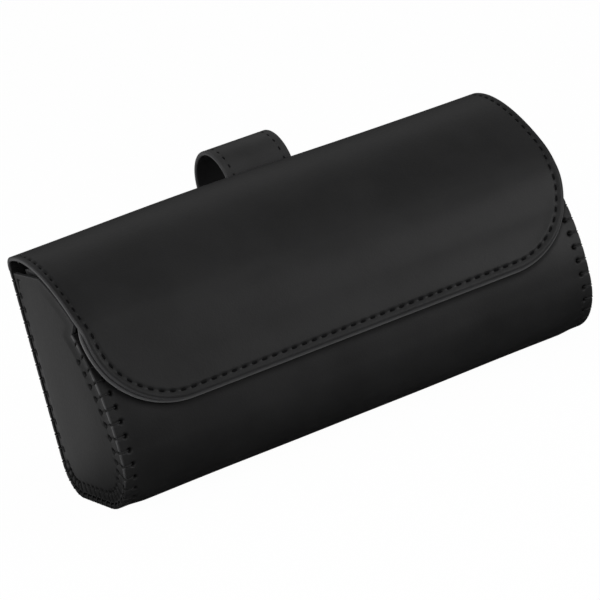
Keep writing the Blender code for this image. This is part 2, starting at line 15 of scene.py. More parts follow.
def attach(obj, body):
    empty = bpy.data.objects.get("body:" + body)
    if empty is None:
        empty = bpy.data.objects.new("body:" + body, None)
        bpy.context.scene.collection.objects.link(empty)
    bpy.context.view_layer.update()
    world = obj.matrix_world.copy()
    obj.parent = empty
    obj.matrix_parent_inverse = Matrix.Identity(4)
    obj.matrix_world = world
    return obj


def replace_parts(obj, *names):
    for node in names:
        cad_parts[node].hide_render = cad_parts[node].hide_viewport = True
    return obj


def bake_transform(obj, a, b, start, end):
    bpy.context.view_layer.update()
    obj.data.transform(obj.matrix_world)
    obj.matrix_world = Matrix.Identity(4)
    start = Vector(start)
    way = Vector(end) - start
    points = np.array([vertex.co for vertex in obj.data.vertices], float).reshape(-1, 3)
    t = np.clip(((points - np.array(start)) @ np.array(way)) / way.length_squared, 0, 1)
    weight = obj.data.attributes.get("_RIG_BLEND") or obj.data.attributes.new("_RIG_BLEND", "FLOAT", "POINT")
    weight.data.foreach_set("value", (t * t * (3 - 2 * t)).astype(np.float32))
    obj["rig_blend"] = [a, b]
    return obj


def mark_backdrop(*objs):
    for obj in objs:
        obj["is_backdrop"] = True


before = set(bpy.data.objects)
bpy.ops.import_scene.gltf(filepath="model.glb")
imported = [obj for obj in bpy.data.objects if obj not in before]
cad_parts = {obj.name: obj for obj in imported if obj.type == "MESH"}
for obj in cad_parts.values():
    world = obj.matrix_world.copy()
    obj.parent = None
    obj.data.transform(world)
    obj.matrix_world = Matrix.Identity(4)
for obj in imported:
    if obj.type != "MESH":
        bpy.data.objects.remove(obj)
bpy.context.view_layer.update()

# %% [markdown]
# ## The camera
# The photograph looks down on the front left corner through a long lens, and leans over to one side.
# The camera is set from those angles, and its matrix is put together from the three directions that a
# camera has: right, up and back.

# %% Camera
VIEW_AZIMUTH = -0.44364
VIEW_ELEVATION = 0.23797
VIEW_LEAN = -0.24870
VIEW_DISTANCE = 0.99352
VIEW_TARGET = Vector((0.0, 0.00025, 0.038))
VIEW_AIM = (-0.001546, -0.000739)
LENS = 190.72


def make_camera():
    """A camera round the target, leaning, and aimed a little off it."""
    flat = math.cos(VIEW_ELEVATION)
    back = Vector((math.sin(VIEW_AZIMUTH) * flat, -math.cos(VIEW_AZIMUTH) * flat, math.sin(VIEW_ELEVATION)))
    level = back.cross(Vector((0.0, 0.0, -1.0))).normalized()
    above = back.cross(level)
    right = math.cos(VIEW_LEAN) * level + math.sin(VIEW_LEAN) * above
    up = math.cos(VIEW_LEAN) * above - math.sin(VIEW_LEAN) * level
    away = (back - VIEW_AIM[0] * right - VIEW_AIM[1] * up).normalized()
    side = up.cross(away).normalized()
    camera = bpy.data.objects.new("camera", bpy.data.cameras.new("camera"))
    turn = Matrix((side, away.cross(side), away)).transposed().to_4x4()
    camera.matrix_world = Matrix.Translation(VIEW_TARGET + VIEW_DISTANCE * back) @ turn
    camera.data.lens = LENS
    camera.data.clip_start = 0.05
    bpy.context.scene.collection.objects.link(camera)
    bpy.context.scene.camera = camera
    return camera


print("camera at", [round(value, 3) for value in make_camera().location])

# %% [markdown]
# ## Wires between shader nodes
# A finish is a small network of nodes. Writing it as sums and products keeps it readable: a wire stands
# for a node's output, the usual operators add a Math node each, and any other node comes from one method.


# %% Wires and finishes
class Wire:
    """An output of a node. Arithmetic on it adds Math nodes to its finish."""

    def __init__(self, finish, socket):
        self.finish = finish
        self.socket = socket

    def math(self, operation, first, second):
        return self.finish.node("ShaderNodeMath", {"operation": operation}, {0: first, 1: second})

    def __add__(self, other):
        return self.math("ADD", self, other)

    def __radd__(self, other):
        return self.math("ADD", other, self)

    def __sub__(self, other):
        return self.math("SUBTRACT", self, other)

    def __rsub__(self, other):
        return self.math("SUBTRACT", other, self)

    def __mul__(self, other):
        return self.math("MULTIPLY", self, other)

    def __rmul__(self, other):
        return self.math("MULTIPLY", other, self)


class Finish:
    """A node tree, with one method that adds any node to it."""

    def __init__(self, tree):
        self.tree = tree

    def node(self, kind, settings=None, sockets=None, output=0):
        made = self.tree.nodes.new(kind)
        for key, value in (settings or {}).items():
            setattr(made, key, value)
        for key, value in (sockets or {}).items():
            self.feed(made.inputs[key], value)
        return Wire(self, made.outputs[output])

    def feed(self, target, value):
        if isinstance(value, Wire):
            self.tree.links.new(value.socket, target)
        else:
            target.default_value = value

    def where(self, kind="Object"):
        """The coordinates of a place."""
        return self.node("ShaderNodeTexCoord", output=kind)

    def split(self, vector):
        """The three parts of a vector."""
        parts = self.node("ShaderNodeSeparateXYZ", {}, {0: vector}).socket.node.outputs
        return [Wire(self, part) for part in parts]

    def attribute(self, name):
        """A value that the points of a piece carry."""
        return self.node("ShaderNodeAttribute", {"attribute_name": name}, output="Fac")

    def noise(self, where, scale, detail=3.0, roughness=0.55):
        return self.node("ShaderNodeTexNoise", {}, {"Vector": where, "Scale": scale, "Detail": detail,
                                                     "Roughness": roughness})

    def spread(self, value, low, high):
        """A value taken from low..high to 0..1, smoothly."""
        return self.node("ShaderNodeMapRange", {"interpolation_type": "SMOOTHSTEP"},
                         {"Value": value, "From Min": low, "From Max": high})

    def mix(self, share, first, second):
        """A colour between two, by a share."""
        first, second = ((*tone, 1.0) if isinstance(tone, tuple) else tone for tone in (first, second))
        return self.node("ShaderNodeMix", {"data_type": "RGBA"},
                         {"Factor": share, 6: first, 7: second}, output=2)

    def bump(self, height, distance, strength, normal=None):
        sockets = {"Height": height, "Distance": distance, "Strength": strength}
        if normal:
            sockets["Normal"] = normal
        return self.node("ShaderNodeBump", {}, sockets)

    def coat(self, colour, roughness, normal):
        """Feed the shader with what varies over a surface."""
        sockets = self.tree.nodes["Principled BSDF"].inputs
        for key, value in (("Base Color", colour), ("Roughness", roughness), ("Normal", normal)):
            self.feed(sockets[key], value)


def new_finish(name, **constants):
    """A material with its Principled shader, whose constant sockets are set by name."""
    material = bpy.data.materials.new(name)
    material.use_nodes = True
    sockets = material.node_tree.nodes["Principled BSDF"].inputs
    for key, value in constants.items():
        sockets[key.replace("_", " ")].default_value = value
    return material, Finish(material.node_tree)


print("wires ready")

# %% [markdown]
# ## Light and floor
# The case stands on a plain floor in soft light: a wide softbox high in front of it, a smaller one at its
# left end, a little one low on the right, a faint one behind, and some light all round. Floor and backdrop
# are white to the camera, and the floor keeps a part of the shadow. Smooth black leather shows little but
# reflections, so these are set by themselves: the world is bright low in front and dim elsewhere, and the
# floor has dark cards in front of the case and behind it, so its foot and its top edge stay deep black.

# %% Backdrop
AMBIENT = 0.42
CEILING = 0.38
FRONT_GLOW = 1.25
GLOW_FADE_Y = (-0.7, 0.1)
GLOW_FADE_Z = (0.02, 0.42)
BACK_SHADE = 0.85
SHADE_FADE_X = (-0.35, 0.05)
SHADE_FADE_Y = (0.2, 0.6)
SHADE_FADE_Z = (0.15, 0.65)


def ray_kinds(finish):
    """Wires that are 1 for rays from the camera or through glass, and for rays off a glossy surface."""
    path = finish.node("ShaderNodeLightPath").socket.node.outputs
    direct = Wire(finish, path["Is Camera Ray"]) + Wire(finish, path["Is Transmission Ray"])
    return direct, Wire(finish, path["Is Glossy Ray"])


def make_backdrop():
    """A world that is white to the camera, graded in reflections, and an even light for the rest."""
    scene = bpy.context.scene
    scene.view_settings.view_transform = "Standard"
    scene.world = bpy.data.worlds.new("studio")
    scene.world.use_nodes = True
    sky = Finish(scene.world.node_tree)
    direct, glossy = ray_kinds(sky)
    x, y, z = sky.split(sky.where("Generated"))
    front = (1 - sky.spread(y, *GLOW_FADE_Y)) * (1 - sky.spread(z, *GLOW_FADE_Z))
    back = sky.spread(x, *SHADE_FADE_X) * sky.spread(y, *SHADE_FADE_Y) * (1 - sky.spread(z, *SHADE_FADE_Z))
    mirrored = CEILING * (1 - BACK_SHADE * back) + FRONT_GLOW * front
    even = 1 - direct - glossy
    background = scene.world.node_tree.nodes["Background"].inputs
    sky.feed(background["Color"], (1.0, 1.0, 1.0, 1.0))
    sky.feed(background["Strength"], direct + glossy * mirrored + even * AMBIENT)
    return scene.world


print("backdrop:", make_backdrop().name)

# %% Floor
FLOOR_HALF = 4.0
FLOOR_LEVEL = -0.0002
FLOOR_WHITE = 0.98
FLOOR_PALE = 0.70
CARD_DARK = 0.03
CARD_CENTRE = (0.0, -2.0)
CARD_HALF = (3.0, 2.0)
CARD_SOFTNESS = 0.07
BACK_CARD_FADE_X = (-0.1, 0.1)
BACK_CARD_FADE_Y = (0.05, 0.15)


def make_floor():
    """The floor, with a matt finish under its white glow."""
    shape = bmesh.new()
    bmesh.ops.create_grid(shape, x_segments=1, y_segments=1, size=FLOOR_HALF)
    bmesh.ops.translate(shape, verts=shape.verts, vec=(0.0, 0.0, FLOOR_LEVEL))
    mesh = bpy.data.meshes.new("floor")
    shape.to_mesh(mesh)
    shape.free()
    material, finish = new_finish("pale_floor", Base_Color=(0.82, 0.82, 0.82, 1.0), Roughness=0.9)
    direct, glossy = ray_kinds(finish)
    spot = finish.split(finish.where())[:2]
    square = 0.0
    for part, centre, half in zip(spot, CARD_CENTRE, CARD_HALF):
        along = part - centre
        beyond = along.math("MAXIMUM", along.math("ABSOLUTE", along, 0.0) - half, 0.0)
        square = beyond * beyond + square
    off_card = finish.spread(square.math("SQRT", square, 0.0), 0.0, CARD_SOFTNESS)
    behind = finish.spread(spot[0], *BACK_CARD_FADE_X) * finish.spread(spot[1], *BACK_CARD_FADE_Y)
    shade = (CARD_DARK + (FLOOR_PALE - CARD_DARK) * off_card) * (1 - BACK_SHADE * behind)
    glow = finish.node("ShaderNodeEmission", {}, {"Color": (1.0, 1.0, 1.0, 1.0),
                                                   "Strength": direct + glossy * shade})
    matt = Wire(finish, material.node_tree.nodes["Principled BSDF"].outputs[0])
    shown = finish.node("ShaderNodeMixShader", {}, {0: direct * FLOOR_WHITE + glossy, 1: matt, 2: glow})
    finish.feed(material.node_tree.nodes["Material Output"].inputs["Surface"], shown)
    mesh.materials.append(material)
    floor = bpy.data.objects.new("floor", mesh)
    bpy.context.scene.collection.objects.link(floor)
    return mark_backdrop(floor)


make_floor()
print("floor:", 2 * FLOOR_HALF, "m wide")

# %% Softboxes
SOFTBOXES = (
    ("front_softbox", (0.40, -0.95, 1.15), 1.5, 1.1, 8.0),
    ("left_softbox", (-1.10, -0.40, 0.60), 1.0, 1.0, 9.5),
    ("right_softbox", (0.46, -0.56, 0.13), 0.3, 0.3, 2.2),
    ("back_softbox", (0.45, 1.00, 1.25), 1.2, 0.8, 1.6),
)


def make_softbox(name, spot, width, height, power):
    lamp = bpy.data.lights.new(name, "AREA")
    lamp.shape = "RECTANGLE"
    lamp.size = width
    lamp.size_y = height
    lamp.energy = power
    softbox = bpy.data.objects.new(name, lamp)
    softbox.location = spot
    softbox.visible_camera = False
    softbox.rotation_euler = (VIEW_TARGET - Vector(spot)).to_track_quat("-Z", "Y").to_euler()
    bpy.context.scene.collection.objects.link(softbox)
    print(f"{name}: {width} by {height} m, {power} W")


for SOFTBOX in SOFTBOXES:
    make_softbox(*SOFTBOX)

# %% [markdown]
# ## Finishes
# The hide is smooth black leather, neither shiny nor dull: fine pores and faint creases, a little uneven
# in sheen, and burnished along its cut edges, which are paler: partly their own tone, partly a painted
# highlight. Every ply carries one attribute with the distance from its edge, so that the pale burnished
# cut follows it. The wrap and the end panels carry another that is 1 in their stitch holes, which are dull
# and darkened as painted shade. The inside is dark suede with a nap, the seams are waxed thread, and
# hidden in the walls are fibreboard, steel and plated magnets.

# %% Leather
# Widths of the smoother, paler band along the cuts; its paler colour is partly a painted highlight.
BURNISH_AND_HIGHLIGHT = 0.0006
FLAP_BURNISH_AND_HIGHLIGHT = 0.0008
STRAP_BURNISH_AND_HIGHLIGHT = 0.0009
HIDE_TONE = (0.0110, 0.0110, 0.0112)
# The strap is the same black hide made about twice as pale: painted light for the light it catches.
STRAP_LIT_TONE = (0.0210, 0.0210, 0.0212)
# The cuts' tone: partly their own paler tone, partly a painted highlight.
CUT_HIGHLIGHT_TONE = (0.038, 0.038, 0.039)
# The tone of painted shade, in stitch holes and along the flap's painted shadow.
PAINTED_SHADE_TONE = (0.0010, 0.0010, 0.0010)


def scaled(tone, share):
    """A darker or a paler tone of the same hue."""
    return tuple(share * value for value in tone)


def leather(name, tone, burnish_and_highlight, painted_shadow=None, roughness=0.43, grain=0.35):
    """Black hide with paler cuts, partly a painted highlight, and painted shade in holes and a shadow."""
    material, finish = new_finish(name, Specular_IOR_Level=0.09)
    where = finish.where()
    patches = finish.noise(where, 45.0)
    fine = finish.noise(where, 900.0, 2.0)
    # Paler and smoother at the cuts: partly their own tone, partly a painted highlight.
    cut = 1 - finish.spread(finish.attribute("edge"), 0.0, burnish_and_highlight)
    shade = finish.mix(finish.spread(patches, 0.3, 0.7), scaled(tone, 0.75), tone)
    shade = finish.mix(cut, shade, CUT_HIGHLIGHT_TONE)
    matt = roughness + 0.10 * (patches - 0.5) + 0.08 * (fine - 0.5) - 0.12 * cut
    # Painted shade: darker and rougher in stitch holes, and along a painted shadow when one is given.
    dull_and_painted_shade = finish.attribute("hole")
    if painted_shadow:
        dull_and_painted_shade = dull_and_painted_shade.math("MAXIMUM", dull_and_painted_shade, painted_shadow(finish, where))
    pores = finish.node("ShaderNodeTexVoronoi", {"feature": "F1"}, {"Vector": where, "Scale": 1500.0},
                        output="Distance")
    relief = finish.bump(finish.noise(where, 260.0, 4.0), 0.00012, 0.5 * grain)
    relief = finish.bump(pores, 0.00005, grain, relief)
    finish.coat(finish.mix(dull_and_painted_shade, shade, PAINTED_SHADE_TONE), matt + 0.5 * dull_and_painted_shade, relief)
    return material


HIDE = leather("black_hide", HIDE_TONE, BURNISH_AND_HIGHLIGHT)
FLAP_HIDE = leather("black_flap_hide", HIDE_TONE, FLAP_BURNISH_AND_HIGHLIGHT)
STRAP_HIDE = leather("black_strap_hide", STRAP_LIT_TONE, STRAP_BURNISH_AND_HIGHLIGHT, roughness=0.48, grain=0.45)
print("leather:", HIDE.name, FLAP_HIDE.name, STRAP_HIDE.name)

# %% Suede, thread, metals and board
# The lining's cut tone: partly its own paler tone, partly a painted highlight.
LINING_CUT_HIGHLIGHT_TONE = (0.054, 0.054, 0.055)
BOARD_TONE = (0.006, 0.005, 0.0045)
FIBRE_TONE = (0.016, 0.014, 0.012)


def suede(name, tone):
    """Suede with a brushed nap, and a smooth cut that is paler, partly as a painted highlight."""
    material, finish = new_finish(name, Specular_IOR_Level=0.10, Sheen_Weight=0.15, Sheen_Roughness=0.5)
    where = finish.where()
    nap = finish.noise(where, 1400.0, 3.0, 0.7)
    brushed = finish.noise(where, 70.0, 2.0)
    soft = finish.mix(0.55 * nap + 0.45 * finish.spread(brushed, 0.3, 0.7), tone, scaled(tone, 1.7))
    cut = 1 - finish.spread(finish.attribute("edge"), 0.0003, 0.0011)
    finish.coat(finish.mix(cut, soft, LINING_CUT_HIGHLIGHT_TONE), 0.92 - 0.5 * cut, finish.bump(nap, 0.00015, 0.5))
    return material


def waxed_thread(name, tone, gloss):
    """Thread with the bands of its twist."""
    material, finish = new_finish(name, Specular_IOR_Level=gloss)
    where = finish.where()
    twist = finish.node("ShaderNodeTexWave", {"wave_type": "BANDS", "bands_direction": "DIAGONAL"},
                        {"Vector": where, "Scale": 700.0, "Distortion": 1.5})
    strand = finish.noise(where, 2500.0, 2.0)
    relief = finish.bump(twist, 0.00008, 0.6)
    finish.coat(finish.mix(strand, tone, scaled(tone, 2.0)), 0.55 + 0.2 * strand, relief)
    return material


def metal(name, tone, roughness):
    """Metal with a haze and fine rubs."""
    material, finish = new_finish(name, Metallic=1.0)
    where = finish.where()
    haze = finish.noise(where, 300.0, 4.0)
    rubs = finish.noise(where, 2200.0, 2.0)
    matt = roughness + 0.16 * (haze - 0.5) + 0.06 * (rubs - 0.5)
    finish.coat(finish.mix(haze, scaled(tone, 0.8), tone), matt, finish.bump(rubs, 0.00001, 0.3))
    return material


def fibreboard(name):
    """Pressed board with paler fibres."""
    material, finish = new_finish(name, Specular_IOR_Level=0.2)
    where = finish.where()
    fibres = finish.noise(where, 900.0, 5.0, 0.7)
    flecks = finish.noise(where, 3000.0, 2.0)
    relief = finish.bump(fibres, 0.0001, 0.6)
    finish.coat(finish.mix(fibres, BOARD_TONE, FIBRE_TONE), 0.8 + 0.15 * flecks, relief)
    return material


SUEDE = suede("dark_suede", (0.0085, 0.0085, 0.0092))
# The stitch thread is near black, darker than the seam yarn: partly its own black, partly painted shade for its
# holes.
THREAD = waxed_thread("black_waxed_thread", (0.0016, 0.0016, 0.0017), 0.04)
SEAM_YARN = waxed_thread("black_seam_yarn", (0.0085, 0.0085, 0.0086), 0.09)
NICKEL = metal("nickel_plate", (0.60, 0.585, 0.56), 0.24)
STEEL = metal("keeper_steel", (0.16, 0.16, 0.165), 0.38)
PLATING = metal("magnet_plating", (0.55, 0.54, 0.53), 0.28)
BOARD = fibreboard("black_fibreboard")
print("finishes:", len(bpy.data.materials), "materials")

# %% [markdown]
# ## Lines of the section
# Seen from its end, the case is a set of lines: the wrap goes from the mouth down the front, under the
# bottom and up the back, and the flap goes from the fold over the crown to its edge. A line here is a
# row of close points with the way they face, and it is walked by distance, so a flat pattern can be laid
# on it. Forward is measured from the back plane.

# %% Sizes and lines
END = 0.085
DEPTH = 0.050
BACK_Y = 0.02025
HIDE_PLY = 0.0014
GAP = 0.0003
STEP = 0.0002
FRONT_CENTRE = Vector((-0.005, 0.022))
FRONT_RADIUS = 0.055
MOUTH_RISE = 0.0354
MOUTH_ANGLE = math.asin(MOUTH_RISE / FRONT_RADIUS)
TOE_RADIUS = 0.020
HEEL_RADIUS = 0.0105
FOLD_RADIUS = 0.0032
FOLD_HEIGHT = 0.0746
FOLD_AXIS = Vector((FOLD_RADIUS, FOLD_HEIGHT))
JOIN_HEIGHT = 0.0736
FLAP_RADIUS = 0.0587
FLAP_RISE = math.radians(12)
CORNER = 0.0268
SHOULDER_RISE = 0.0028
SHOULDER_ANGLE = MOUTH_ANGLE - math.radians(2.2)
LANDING_ANGLE = MOUTH_ANGLE - math.radians(18.4)
FLAP_END_ANGLE = MOUTH_ANGLE - math.radians(31.9)
CROWN_PULLS = (0.44, 0.10)
SHOULDER_PULLS = (0.35, 0.30)


class Line:
    """A line of the end section as close points with normals, walked by distance."""

    def __init__(self):
        self.points = []
        self.normals = []

    def arc(self, centre, radius, start, end, outward=1.0):
        steps = max(2, round(abs(end - start) * radius / STEP))
        for angle in np.linspace(start, end, steps + 1).tolist():
            way = Vector((math.cos(angle), math.sin(angle)))
            self.points.append(Vector(centre) + radius * way)
            self.normals.append(outward * way)
        return self

    def run(self, start, end, normal):
        steps = max(2, round((Vector(end) - Vector(start)).length / STEP))
        for share in np.linspace(0.0, 1.0, steps + 1).tolist():
            self.points.append(Vector(start).lerp(Vector(end), share))
            self.normals.append(Vector(normal).normalized())
        return self

    def bend(self, a, start_way, d, end_way, pulls, left=1.0):
        """A cubic curve between two points and directions, with the normal on its left or right."""
        steps = max(2, round((d - a).length / STEP))
        b = a + (d - a).length * pulls[0] * start_way
        c = d - (d - a).length * pulls[1] * end_way
        for t in np.linspace(0.0, 1.0, steps + 1).tolist():
            s = 1.0 - t
            way = (s * s * (b - a) + 2 * s * t * (c - b) + t * t * (d - c)).normalized()
            self.points.append(s ** 3 * a + 3 * s * s * t * b + 3 * s * t * t * c + t ** 3 * d)
            self.normals.append(left * Vector((-way.y, way.x)))
        return self

    def measure(self):
        """Distances along the line, once it is whole."""
        self.points = np.array(self.points)
        self.normals = np.array(self.normals)
        steps = np.linalg.norm(np.diff(self.points, axis=0), axis=1)
        self.marks = np.concatenate([[0.0], np.cumsum(steps)])
        self.length = self.marks[-1]
        return self

    def at(self, distance):
        """Point and normal at a distance, or at an array of them, going straight on past the ends."""
        inside = np.clip(distance, 0.0, self.length)
        point = np.stack([np.interp(inside, self.marks, self.points[:, axis]) for axis in (0, 1)], -1)
        normal = np.stack([np.interp(inside, self.marks, self.normals[:, axis]) for axis in (0, 1)], -1)
        normal = normal / np.linalg.norm(normal, axis=-1, keepdims=True)
        onward = np.stack([normal[..., 1], -normal[..., 0]], -1)
        return point + np.asarray(distance - inside)[..., None] * onward, normal


def place(x, forward, up):
    """A point of the end section, taken to its place along the case."""
    return Vector((x, BACK_Y - forward, up))


def wrap_line():
    """The outside of the wrap, from the mouth round to the back, up to where the fold piece joins on."""
    line = Line().arc(FRONT_CENTRE, FRONT_RADIUS, MOUTH_ANGLE, 0.0)
    line.arc((DEPTH - TOE_RADIUS, TOE_RADIUS), TOE_RADIUS, 0.0, -math.pi / 2)
    line.arc((HEEL_RADIUS, HEEL_RADIUS), HEEL_RADIUS, -math.pi / 2, -math.pi)
    line.run((0.0, HEEL_RADIUS), (0.0, JOIN_HEIGHT), (-1.0, 0.0))
    return line.measure()


def front_point(radius, angle):
    """A point round the centre of the front's curve, and the way down along it."""
    facing = Vector((math.cos(angle), math.sin(angle)))
    return FRONT_CENTRE + radius * facing, Vector((facing.y, -facing.x))


def flap_line():
    """The outside of the flap, from the join on the back, round the fold, over a shoulder to its edge."""
    line = Line().run((0.0, JOIN_HEIGHT), (0.0, FOLD_AXIS.y), (-1.0, 0.0))
    line.arc(FOLD_AXIS, FOLD_RADIUS, math.pi, math.pi / 2 + FLAP_RISE)
    rise = Vector((math.cos(FLAP_RISE), math.sin(FLAP_RISE)))
    shoulder, down_shoulder = front_point(FLAP_RADIUS + SHOULDER_RISE, SHOULDER_ANGLE)
    landing, down_landing = front_point(FLAP_RADIUS, LANDING_ANGLE)
    line.bend(line.points[-1], rise, shoulder, down_shoulder, CROWN_PULLS)
    line.bend(shoulder, down_shoulder, landing, down_landing, SHOULDER_PULLS)
    line.arc(FRONT_CENTRE, FLAP_RADIUS, LANDING_ANGLE, FLAP_END_ANGLE)
    return line.measure()


WRAP = wrap_line()
FLAP = flap_line()
print(f"wrap {WRAP.length * 1000:.1f} mm round, flap {FLAP.length * 1000:.1f} mm from its join to its edge")

# %% [markdown]
# ## Cutting a ply
# Each ply starts as one flat outline. Insets make rings of narrow faces along its edge, which can carry
# a rounded edge, a seam groove or a stitch hole, and straight cuts divide the middle so that it can bend.
# The rings know their distance from the edge. Extruding the sheet gives it its thickness, and laying it
# on a line puts it where it belongs.

# %% Cutting and rounding
SNAP = 0.0000001
EDGE_RINGS = (0.00006, 0.00010, 0.00014, 0.00018, 0.00022)
SEAM_RINGS = EDGE_RINGS + (0.0003,) * 12 + (0.0004, 0.0006, 0.0008, 0.0009)
OUTLINE_STEP = 0.0005
MARGIN = 0.010
FLAT_HALF = 0.076


def steps_between(start, end, step):
    """Even places from start to end, both included, about a step apart."""
    return np.linspace(start, end, max(2, round(abs(end - start) / step) + 1))


def cut_ply(outline, rings, across_cuts, along_cuts, thickness, trims=(), lips=()):
    """A closed flat ply, drawn as across, along and rise, with the distance from its edge on its points.

    Trims cut the sheet off at places along it and keep the side that is named. Lips are extra rows there.
    """
    ply = bmesh.new()
    edge = ply.verts.layers.float.new("edge")
    middle = ply.faces.new([ply.verts.new((across, along, 0.0)) for across, along in outline])
    distance = 0.0
    for width in rings:
        bmesh.ops.inset_region(ply, faces=[middle], thickness=width, use_boundary=True,
                               use_even_offset=True)
        distance += width
        for vert in middle.verts:
            vert[edge] = distance
    for along, keep in [*trims, *((lip, 0.0) for lip in lips)]:
        everything = [*ply.verts, *ply.edges, *ply.faces]
        bmesh.ops.bisect_plane(ply, geom=everything, dist=SNAP, plane_co=(0.0, along, 0.0),
                               plane_no=(0.0, keep or 1.0, 0.0), clear_inner=keep != 0.0)
    inner = [max(ply.faces, key=lambda face: face.calc_area())]
    for axis, cuts in ((Vector((0.0, 1.0, 0.0)), along_cuts), (Vector((1.0, 0.0, 0.0)), across_cuts)):
        for cut in cuts:
            parts = set(inner)
            for face in inner:
                parts.update(face.edges)
                parts.update(face.verts)
            made = bmesh.ops.bisect_plane(ply, geom=list(parts), dist=SNAP, plane_co=axis * cut,
                                          plane_no=axis)
            inner = [item for item in made["geom"] if isinstance(item, bmesh.types.BMFace)]
    grown = bmesh.ops.extrude_face_region(ply, geom=list(ply.faces))["geom"]
    lower = [item for item in grown if isinstance(item, bmesh.types.BMVert)]
    bmesh.ops.translate(ply, verts=lower, vec=(0.0, 0.0, -thickness))
    return ply


def round_edges(ply, thickness, upper, lower, share=None):
    """Round off both faces of a flat ply towards its edge. A share scales the lower radius along the ply."""
    edge = ply.verts.layers.float["edge"]
    for vert in ply.verts:
        under = vert.co.z < -thickness / 2
        radius = (lower * share(vert.co.y) if share else lower) if under else upper
        inside = min(max(radius - vert[edge], 0.0), radius)
        drop = radius - math.sqrt(radius * radius - inside * inside)
        vert.co.z += drop if under else -drop


print("rings reach", round(sum(SEAM_RINGS) * 1000, 2), "mm in from the edge")

# %% Laying and finishing
SHARP = math.radians(50)


def flat_points(ply, thickness):
    """The points of a flat ply as an array, the side each is on, and the distances from the edge."""
    edge = ply.verts.layers.float["edge"]
    flat = np.array([vert.co for vert in ply.verts])
    return flat, flat[:, 2] > -thickness / 2, np.array([vert[edge] for vert in ply.verts])


def lay_on(ply, flat, line, lift=0.0):
    """Bend a flat ply onto a line of the section."""
    points, normals = line.at(flat[:, 1])
    points = points + (flat[:, 2:] + lift) * normals
    for vert, x, (forward, up) in zip(ply.verts, flat[:, 0], points):
        vert.co = place(x, forward, up)


def smooth_step(value):
    share = np.clip(value, 0.0, 1.0)
    return share * share * (3.0 - 2.0 * share)


def bell(value, width):
    """1 at zero, falling off softly to both sides."""
    return np.exp(-(value / width) ** 2)


def waves(across, along, length):
    """The slight unevenness of a worked hide, from -1 to 1."""
    a = across * 2 * math.pi / length
    b = along * 2 * math.pi / length
    return (np.sin(a + 1.7 * np.sin(0.61 * b + 0.4)) + np.sin(0.83 * b - 0.47 * a + 2.1)
            + np.sin(0.57 * a + 1.31 * b + 4.0)) / 3.0


def finish_piece(name, shape, look):
    """A piece from a bmesh, with faces out, smooth but for its corners, and its finish."""
    if shape.calc_volume(signed=True) < 0.0:
        bmesh.ops.reverse_faces(shape, faces=shape.faces)
    for face in shape.faces:
        face.smooth = True
    for seam in shape.edges:
        seam.smooth = seam.calc_face_angle(0.0) < SHARP
    mesh = bpy.data.meshes.new(name)
    shape.to_mesh(mesh)
    shape.free()
    mesh.materials.append(look)
    piece = bpy.data.objects.new(name, mesh)
    bpy.context.scene.collection.objects.link(piece)
    print(f"{name}: {len(mesh.polygons)} faces")
    return piece


print("corners stay sharp past", round(math.degrees(SHARP)), "degrees")

# %% [markdown]
# ## The wrap
# One hide makes the front, the bottom and the back. Its two ends are sewn to the end panels, so they dip a
# little at the rim, and each stitch goes down a small round hole about three millimetres in. The holes are
# pressed into the rings of the flat pattern before it is bent, and marked so that the finish paints shade
# into them. The paler cut is kept only along the front, as a painted highlight there. A faint dark line
# on the front, also duller, is a painted shadow along the edge of the closed flap.

# %% The wrap
SEAM_START = 0.0029
SEAM_PITCH = 0.00455
BOTTOM_PITCH = 0.0034
BOTTOM_RUN = (0.057, 0.106)
WRAP_HOLE_INSET = 0.0032
RIM_DIP = 0.00040
RIM_WIDTH = 0.0034
RIM_SLOPE = 0.0060
HOLE_RADIUS = 0.00080
HOLE_DEPTH = 0.00120
CHANNEL_WIDTH = 0.00042
CHANNEL_DEPTH = 0.00018
# Where along the wrap the painted highlight on its cut edge fades out.
EDGE_HIGHLIGHT_RUN = (0.045, 0.056)
BACK_FADE = 0.010
SIDE_STEP = 0.00033
ROW_STEP = 0.004
WRAP_ROUND = 0.0005
WRAP_WAVE = 0.00010
WRAP_WAVE_LENGTH = 0.055
CALM_RUN = 0.02
NOTCH_DEPTH = 0.00034
NOTCH_REACH = 0.0009
# A painted shadow of the closed flap's edge on the front: its strength, widths across the edge, start and fade.
FLAP_SHADOW_SHARE = 0.5
FLAP_SHADOW_RISE = (-0.0012, 0.0004)
FLAP_SHADOW_FALL = (0.0006, 0.0030)
FLAP_SHADOW_START = 0.003
FRONT_FADE = (0.02, 0.03)


def seam_stations():
    """Distances of the stitches along the wrap, closer together round the bottom."""
    stations = [SEAM_START]
    while stations[-1] < WRAP.length - SEAM_START - SEAM_PITCH:
        near = BOTTOM_RUN[0] < stations[-1] < BOTTOM_RUN[1]
        stations.append(stations[-1] + (BOTTOM_PITCH if near else SEAM_PITCH))
    return np.array(stations)


SEAM = seam_stations()


